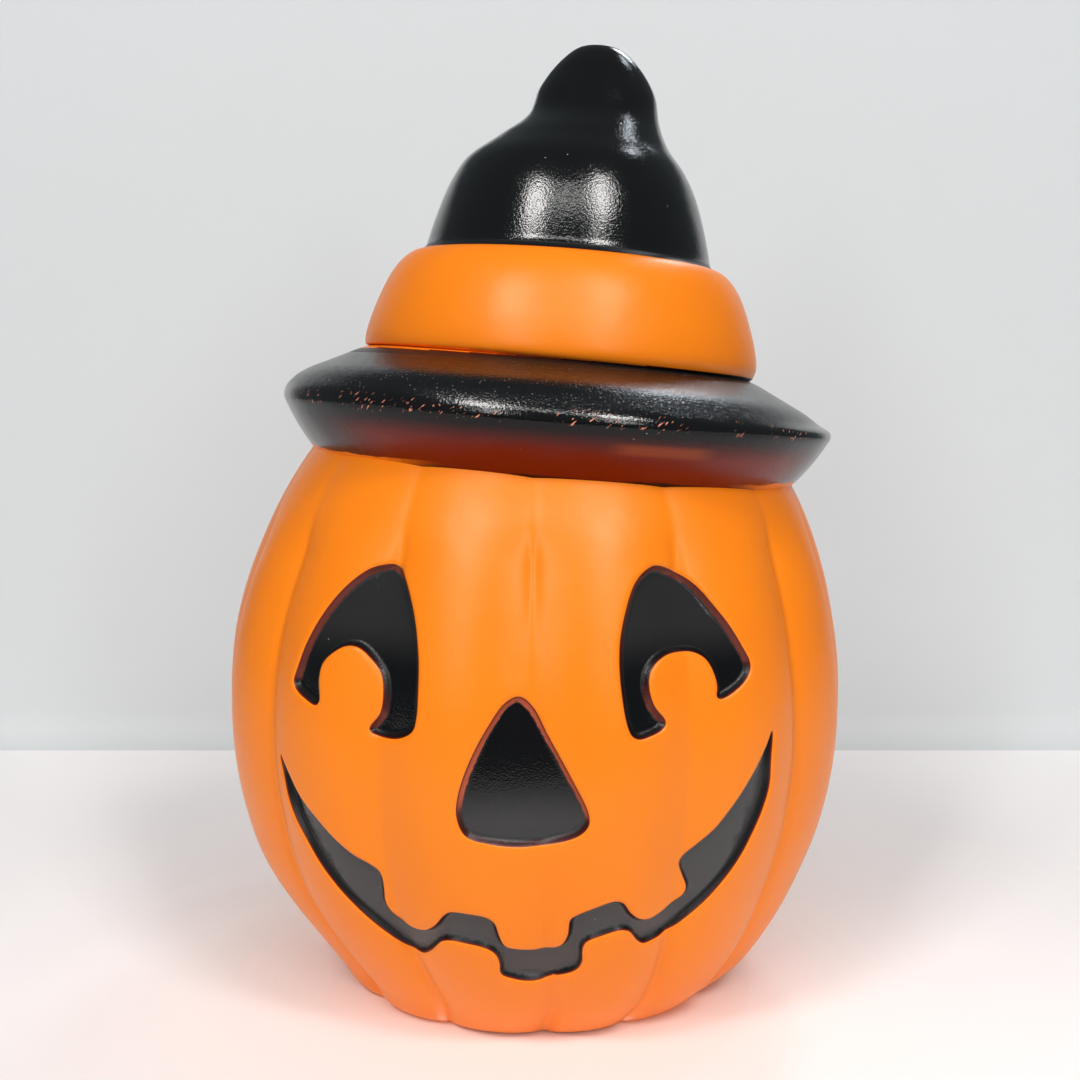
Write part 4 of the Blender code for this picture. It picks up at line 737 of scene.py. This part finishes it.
def makeOrangePlastic():
    f = orangePlastic
    s = Shader("orangePlastic")
    colour = s.mix(s.noise(f["clouds"], 3), f["colour"], f["cloudColour"])
    rough = s.plus(f["rough"] - f["roughSpread"] / 2, s.times(s.noise(55, 4), f["roughSpread"]))
    normal = s.bump(s.noise(ripple["scale"], 2), ripple["relief"], 0.5)
    normal = s.bump(s.noise(f["grain"], 2), f["grainRelief"], 0.5, normal)
    return s.finish(Base_Color=colour, Roughness=rough, Normal=normal, IOR=f["index"], Specular_Tint=f["shine"])


def makeBlackPaint(name, index):
    f = blackPaint
    s = Shader(name)
    paint, thin, paintedReflection, foot, around = (s.value(kind) for kind in ("paint", "thin", "paintedReflection", "foot", "around"))
    turned = s.math("ABSOLUTE", s.minus(around, f["facing"]))
    upper = s.hump(*f["upperSide"], foot)

    # Black, its ragged edge over the orange, thin walls and specks
    wall = s.mix(s.between(0.35, 0.9, thin), f["wallRed"], f["wallOrange"])
    wall = s.mix(s.between(0.1, 0.38, thin), f["colour"], wall)
    colour = s.mix(s.between(0.12, 0.3, paint), f["edge"], wall)
    dust = s.specks(f["dustScale"], f["dustSize"], f["dustLeast"])
    cover = s.plus(0.85, s.times(s.noise(70, 2), -0.6))
    spray = s.times(s.specks(f["sprayScale"], f["spraySize"], cover), upper)
    speck = s.math("MAXIMUM", dust, s.times(spray, f["sprayShare"]))
    ragged = s.plus(paint, s.times(s.minus(s.noise(900, 4), 0.5), f["ragged"]))
    # painted reflection: where it goes, the black turns grey and reaches a little nearer to the outline
    reached = s.plus(ragged, s.times(paintedReflection, 0.4))
    black = s.mix(paintedReflection, f["colour"], f["paintedReflectionColour"])
    colour = s.mix(s.between(0.85, 1.25, reached), colour, s.mix(speck, black, f["dust"]))

    # The brim's underside: painted reflection of the pumpkin, the lighter patch, the dark seam and the bare sides
    middle = s.minus(0.9, s.times(s.between(*f["paintedUnderReflectionSides"], turned), 0.75))
    # painted reflection: brown in the middle of the underside, fading out towards the brim's edge
    below = s.times(s.minus(1.0, s.between(*f["paintedUnderReflectionFall"], foot)), middle)
    colour = s.mix(below, colour, f["paintedUnderReflection"])
    patch = s.times(s.hump(*f["patchAround"], around), s.between(*f["patchRise"], foot))
    patch = s.times(patch, s.minus(0.7, s.times(s.between(*f["patchFall"], foot), 0.7)))
    colour = s.mix(patch, colour, f["patch"])
    waver = s.plus(foot, s.times(s.minus(s.noise(60, 3), 0.5), 2.4))
    colour = s.mix(s.minus(1.0, s.between(*f["seamFrom"], waver)), colour, f["seam"])
    sides = s.between(*f["bareSides"], turned)
    bare = s.minus(sides, s.times(s.between(*f["bareFrom"], waver), sides))
    colour = s.mix(bare, colour, orangePlastic["colour"])

    # Scratches along the brim's edge, drawn out and slanting
    slant = s.add("ShaderNodeCombineXYZ", i0=s.plus(around, s.times(foot, -0.9)), i1=s.times(foot, 0.35)).outputs[0]
    stroke = s.between(*f["stroke"], s.noise(2.2, 2, slant))
    worn = s.add("ShaderNodeTexNoise", {"noise_dimensions": "1D"}, W=around, Scale=0.09, Detail=1.0).outputs["Fac"]
    left = s.minus(1.0, s.between(*f["wornTo"], around))
    worn = s.between(*f["worn"], s.plus(worn, s.times(left, 0.05)))
    scratch = s.times(s.times(stroke, s.hump(*f["ridgeBand"], foot)), worn)
    colour = s.mix(scratch, colour, f["scratch"])

    rough = s.plus(f["rough"] - f["roughSpread"] / 2, s.times(s.noise(55, 4), f["roughSpread"]))
    rough = s.blend(s.between(1.2, 1.5, paint), f["edgeRough"], rough)
    rough = s.blend(s.math("MAXIMUM", bare, scratch), rough, orangePlastic["rough"])
    rough = s.blend(upper, rough, s.plus(rough, f["upperRough"]))
    grain = s.plus(s.noise(2700, 1), s.times(s.noise(1300, 1), 0.6))
    grain = s.times(grain, s.plus(1.0, s.times(upper, 1.6)))
    normal = s.bump(s.noise(ripple["scale"], 2), ripple["relief"], 0.3)
    normal = s.bump(grain, 0.0001, 0.45, normal)
    return s.finish(Base_Color=colour, Roughness=rough, Normal=normal, IOR=index)


# Each piece has the plastic, then its paint, and the hat one more for the brim's underside
plastic = makeOrangePlastic()
for piece, name in ((lanternBody, "face"), (witchHat, "hat")):
    piece.data.materials.append(plastic)
    piece.data.materials.append(makeBlackPaint(name + "Paint", blackPaint[name + "Index"]))
    paints, heights = getValues(piece, "paint"), getValues(piece, "foot")
    least, most = blackPaint["line"]
    for polygon in piece.data.polygons:
        corners = list(polygon.vertices)
        painted = paints[corners].min() > least and paints[corners].max() > most
        low = heights[corners].mean() < blackPaint["ridge"]
        polygon.material_index = int(painted) * (1 + low)
witchHat.data.materials.append(makeBlackPaint("underPaint", blackPaint["underIndex"]))
print("shell finish")

# Pieces under and inside the shell: a finish for each material of the record
insideFinishes = {
    "black_plastic": {"colour": (0.014, 0.014, 0.015, 1), "cloud": (0.024, 0.023, 0.023, 1), "clouds": 45,
                      "rough": 0.42, "spread": 0.16, "grain": 1500, "relief": 0.0001},
    "switch_plastic": {"colour": (0.022, 0.022, 0.024, 1), "cloud": (0.033, 0.032, 0.033, 1), "clouds": 120,
                       "rough": 0.34, "spread": 0.12, "grain": 2400, "relief": 0.00004},
    "knob_plastic": {"colour": (0.52, 0.51, 0.48, 1), "cloud": (0.60, 0.59, 0.56, 1), "clouds": 150,
                     "rough": 0.30, "spread": 0.14, "grain": 2200, "relief": 0.00004},
    "white_plastic": {"colour": (0.70, 0.68, 0.62, 1), "cloud": (0.78, 0.77, 0.73, 1), "clouds": 90,
                      "rough": 0.38, "spread": 0.14, "grain": 1800, "relief": 0.00004},
    "screw_steel": {"colour": (0.50, 0.51, 0.53, 1), "cloud": (0.66, 0.65, 0.60, 1), "clouds": 420, "metal": 1.0,
                    "rough": 0.24, "spread": 0.2, "grain": 2600, "relief": 0.00002, "drawn": (1, 1, 6)},
    "contact_nickel": {"colour": (0.60, 0.58, 0.52, 1), "cloud": (0.72, 0.70, 0.66, 1), "clouds": 260, "metal": 1.0,
                       "rough": 0.2, "spread": 0.16, "grain": 1800, "relief": 0.00002, "drawn": (4, 0.5, 4)},
    "brass": {"colour": (0.55, 0.36, 0.12, 1), "cloud": (0.72, 0.53, 0.24, 1), "clouds": 300, "metal": 1.0,
              "rough": 0.22, "spread": 0.2, "grain": 2200, "relief": 0.00002, "drawn": (1, 1, 5)},
    "solder": {"colour": (0.44, 0.44, 0.45, 1), "cloud": (0.62, 0.62, 0.61, 1), "clouds": 900, "metal": 1.0,
               "rough": 0.34, "spread": 0.2, "grain": 1400, "relief": 0.00012},
    "filament_wire": {"colour": (0.34, 0.34, 0.35, 1), "cloud": (0.52, 0.51, 0.48, 1), "clouds": 1400, "metal": 1.0,
                      "rough": 0.3, "spread": 0.2, "grain": 5200, "relief": 0.00002},
    "bulb_glass": {"colour": (0.97, 0.98, 0.97, 1), "cloud": (0.90, 0.92, 0.90, 1), "clouds": 150,
                   "rough": 0.0, "spread": 0.05, "grain": 260, "relief": 0.00005, "clear": 1.0},
    "bead_glass": {"colour": (0.62, 0.78, 0.68, 1), "cloud": (0.50, 0.70, 0.60, 1), "clouds": 600,
                   "rough": 0.04, "spread": 0.1, "grain": 900, "relief": 0.00005, "clear": 0.9},
    "lead_red": {"colour": (0.46, 0.012, 0.010, 1), "cloud": (0.60, 0.03, 0.02, 1), "clouds": 160,
                 "rough": 0.32, "spread": 0.14, "grain": 2000, "relief": 0.00003},
    "lead_white": {"colour": (0.64, 0.63, 0.58, 1), "cloud": (0.76, 0.75, 0.72, 1), "clouds": 160,
                   "rough": 0.32, "spread": 0.14, "grain": 2000, "relief": 0.00003},
    "lead_black": {"colour": (0.012, 0.012, 0.013, 1), "cloud": (0.024, 0.023, 0.024, 1), "clouds": 160,
                   "rough": 0.32, "spread": 0.14, "grain": 2000, "relief": 0.00003},
}
cellJacket = {  # shares of the cell's length from its flat end
    "bareEnd": 0.010,
    "bandStart": 0.76,
    "bandEnd": 0.965,
    "steel": ((0.58, 0.58, 0.57, 1), (0.70, 0.69, 0.66, 1)),  # each colour and its clouds
    "body": ((0.012, 0.016, 0.022, 1), (0.022, 0.028, 0.036, 1)),
    "band": ((0.62, 0.30, 0.13, 1), (0.72, 0.40, 0.20, 1)),
    "bandMetal": 0.7,
    "rough": 0.22,
}


def makeInside(name, f):
    s = Shader(name)
    where = s.place()
    if "drawn" in f:  # marks pulled long by rolling, drawing or turning
        mapping = s.add("ShaderNodeMapping", Vector=where)
        mapping.inputs["Scale"].default_value = f["drawn"]
        where = mapping.outputs[0]
    colour = s.mix(s.between(0.3, 0.7, s.noise(f["clouds"], 3)), f["colour"], f["cloud"])
    rough = s.plus(f["rough"] - f["spread"] / 4, s.times(s.noise(f["clouds"] * 1.7, 4, where), f["spread"]))
    normal = s.bump(s.noise(f["grain"], 3, where), f["relief"], 0.7)
    return s.finish(Base_Color=colour, Roughness=rough, Normal=normal, Metallic=f.get("metal", 0.0),
                    Transmission_Weight=f.get("clear", 0.0), IOR=1.5)


def makeCellJacket(node):
    f = cellJacket
    s = Shader(node + "Jacket")
    low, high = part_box(node)
    ends = (low[0], high[0]) if node.endswith("1") else (high[0], low[0])  # the two cells lie opposite ways
    across = s.add("ShaderNodeSeparateXYZ", i0=s.place()).outputs[0]
    share = s.add("ShaderNodeMapRange", i0=across, i1=ends[0], i2=ends[1]).outputs[0]
    bare = s.plus(s.math("LESS_THAN", share, f["bareEnd"]), s.math("GREATER_THAN", share, f["bandEnd"]))
    band = s.math("GREATER_THAN", share, f["bandStart"])
    printed, clouded = (s.mix(band, f["body"][k], f["band"][k]) for k in (0, 1))
    colour = s.mix(bare, s.mix(s.noise(130, 3), printed, clouded), s.mix(s.noise(600, 3), *f["steel"]))
    metal = s.math("MAXIMUM", bare, s.times(band, f["bandMetal"]))
    rough = s.plus(f["rough"] - 0.05, s.times(s.noise(240, 4), 0.14))
    normal = s.bump(s.noise(500, 2), 0.00006, 0.5)
    return s.finish(Base_Color=colour, Roughness=rough, Normal=normal, Metallic=metal)


# The two cells, rounder and fuller than their solids
cell = {
    "steps": 64,
    "nubRadius": 2.7,
    "nubLength": 1.2,
    "smoothTo": 40,              # degrees
}


def makeCell(node):
    low, high = (np.array(corner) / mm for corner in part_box(node))
    radius, length = (high[2] - low[2]) / 2, high[0] - low[0]
    nub, rim = cell["nubRadius"], length - cell["nubLength"]
    # radius and length along: hollow flat end, crimped rim, jacket, crimped rim, nub
    keys = [(0, 0.25), (radius - 2.3, 0.25), (radius - 1.7, 0.05), (radius - 0.8, 0.0), (radius - 0.25, 0.18),
            (radius, 0.7), (radius, rim - 0.9), (radius - 0.2, rim - 0.35), (radius - 0.8, rim),
            (radius - 1.3, rim - 0.12), (radius - 1.6, rim - 0.4), (nub + 1.3, rim - 0.4), (nub + 0.5, rim - 0.1),
            (nub, rim + 0.15), (nub, length - 0.35), (nub - 0.25, length - 0.06), (nub - 0.8, length), (0, length)]
    start, way = (low[0], 1) if node.endswith("1") else (high[0], -1)
    middle = (low + high) / 2
    corners = [(np.array([start + way * along, middle[1], middle[2] + out]) * mm).tolist() for out, along in keys]
    piece = newPiece(node + "Full", corners, [(k, k + 1) for k in range(len(keys) - 1)], [])
    spinRound(piece, cell["steps"], (0, middle[1] * mm, middle[2] * mm), (1, 0, 0))
    bpy.ops.object.shade_smooth_by_angle(angle=math.radians(cell["smoothTo"]))
    piece.data.materials.append(makeCellJacket(node))
    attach(piece, "lantern")
    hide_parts(node)


makeCell("battery_cell_1")
makeCell("battery_cell_2")
insideMaterials = {name: makeInside(name, finish) for name, finish in insideFinishes.items()}
for row in frame["record"]["subparts"]:
    node, slotName = row["node"], row["material_slot"]
    if slotName == "orange_plastic":
        material = plastic
    elif slotName == "cell_jacket":
        continue                 # replaced above
    else:
        material = insideMaterials[slotName]
    for slot in frame["nodes"][node].material_slots:
        slot.material = material

# Camera, floor, backdrop and light
view = {
    "place": (0.00117, -0.3195, 0.1355),  # in metres, as all below
    "down": 6.09,                # degrees below level
    "lens": 45.3,
    "sensor": 36,
}
camera = bpy.data.objects.new("camera", bpy.data.cameras.new("camera"))
bpy.context.scene.collection.objects.link(camera)
camera.location = view["place"]
camera.rotation_euler = (math.radians(90 - view["down"]), 0, 0)
camera.data.lens = view["lens"]
camera.data.sensor_width = view["sensor"]
camera.data.clip_start = 0.01
bpy.context.scene.camera = camera

stage = {
    "front": -0.24,
    "back": 0.75,
    "side": 0.75,
    "wallAt": 0.2,
    "wallSide": 0.235,           # just past the picture's edges
    "curve": 0.015,
    "height": 0.285,
    "floorColour": (0.96, 0.93, 0.93, 1),
    "wallColour": (0.635, 0.66, 0.675, 1),
    "rough": 0.7,
}


def makeSheet(name, path, side, colour):
    points = [(x, y, z) for x in (-side, side) for y, z in path]
    count = len(path)
    sheet = newPiece(name, points, [], [(k, k + count, k + count + 1, k + 1) for k in range(count - 1)])
    sheet.data.shade_smooth()
    s = Shader(name)
    paper = s.finish(Base_Color=colour, Roughness=stage["rough"])
    # it never hides the object from behind
    behind = s.times(s.add("ShaderNodeNewGeometry").outputs["Backfacing"],
                     s.add("ShaderNodeLightPath").outputs["Is Camera Ray"])
    seen = s.add("ShaderNodeMixShader", i0=behind, i1=s.surface.outputs[0],
                 i2=s.add("ShaderNodeBsdfTransparent").outputs[0])
    s.put(s.tree.nodes["Material Output"].inputs["Surface"], seen.outputs[0])
    sheet.data.materials.append(paper)
    return sheet


g = stage
floor = makeSheet("floor", [(g["front"], 0.0), (g["back"], 0.0)], g["side"], g["floorColour"])
floor.visible_shadow = False     # lets the lamp below reach the underside
wallPath = [(g["wallAt"] - g["curve"] + g["curve"] * math.sin(a), g["curve"] * (1 - math.cos(a)) - 0.001)
            for a in np.radians(range(0, 91, 10))]
makeSheet("wall", wallPath + [(g["wallAt"], g["height"])], g["wallSide"], g["wallColour"])

# An arch of soft boxes behind the camera, two lamps at the back for brim and knob, one under the floor
middle, warm = (0, 0, 0.12), (1, 0.98, 0.96)
lights = {  # place, aim, size, watts, colour, spread
    "left": ((-0.39, -0.85, 0.44), middle, (0.075, 0.5), 1.7, warm, 180),
    "right": ((0.39, -0.85, 0.44), middle, (0.075, 0.5), 1.7, warm, 180),
    "highLeft": ((-0.44, -0.7, 0.93), middle, (0.27, 0.27), 5.3, warm, 180),
    "highRight": ((0.44, -0.7, 0.93), middle, (0.27, 0.27), 5.3, warm, 180),
    "over": ((0, -0.8, 0.94), middle, (0.5, 0.07), 1.5, warm, 180),
    "back": ((0.305, 0.575, 0.78), middle, (0.17, 0.17), 1.7, (0.84, 0.92, 1), 180),
    "glint": ((0.46, 0.245, 0.93), (0, 0, 0.19), (0.08, 0.08), 0.42, (0.85, 0.93, 1), 180),
    "below": ((0, 0, -0.05), (0, 0, 0), (0.05, 0.05), 0.03, (1, 1, 1), 45),
}
room = {"colour": (0.8, 0.95, 1, 1), "strength": 0.15}
for name, (place, aim, size, watts, colour, spread) in lights.items():
    data = bpy.data.lights.new(name, "AREA")
    data.shape = "RECTANGLE"
    data.size, data.size_y = size
    data.energy = watts
    data.spread = math.radians(spread)
    data.color = colour
    lamp = bpy.data.objects.new(name, data)
    bpy.context.scene.collection.objects.link(lamp)
    lamp.location = place
    lamp.rotation_euler = (Vector(aim) - Vector(place)).to_track_quat("-Z", "Y").to_euler()
world = bpy.data.worlds.new("room")
bpy.context.scene.world = world
world.use_nodes = True
background = world.node_tree.nodes["Background"]
background.inputs["Color"].default_value = room["colour"]
background.inputs["Strength"].default_value = room["strength"]
bpy.context.scene.view_settings.view_transform = "Standard"

print("scene ready")
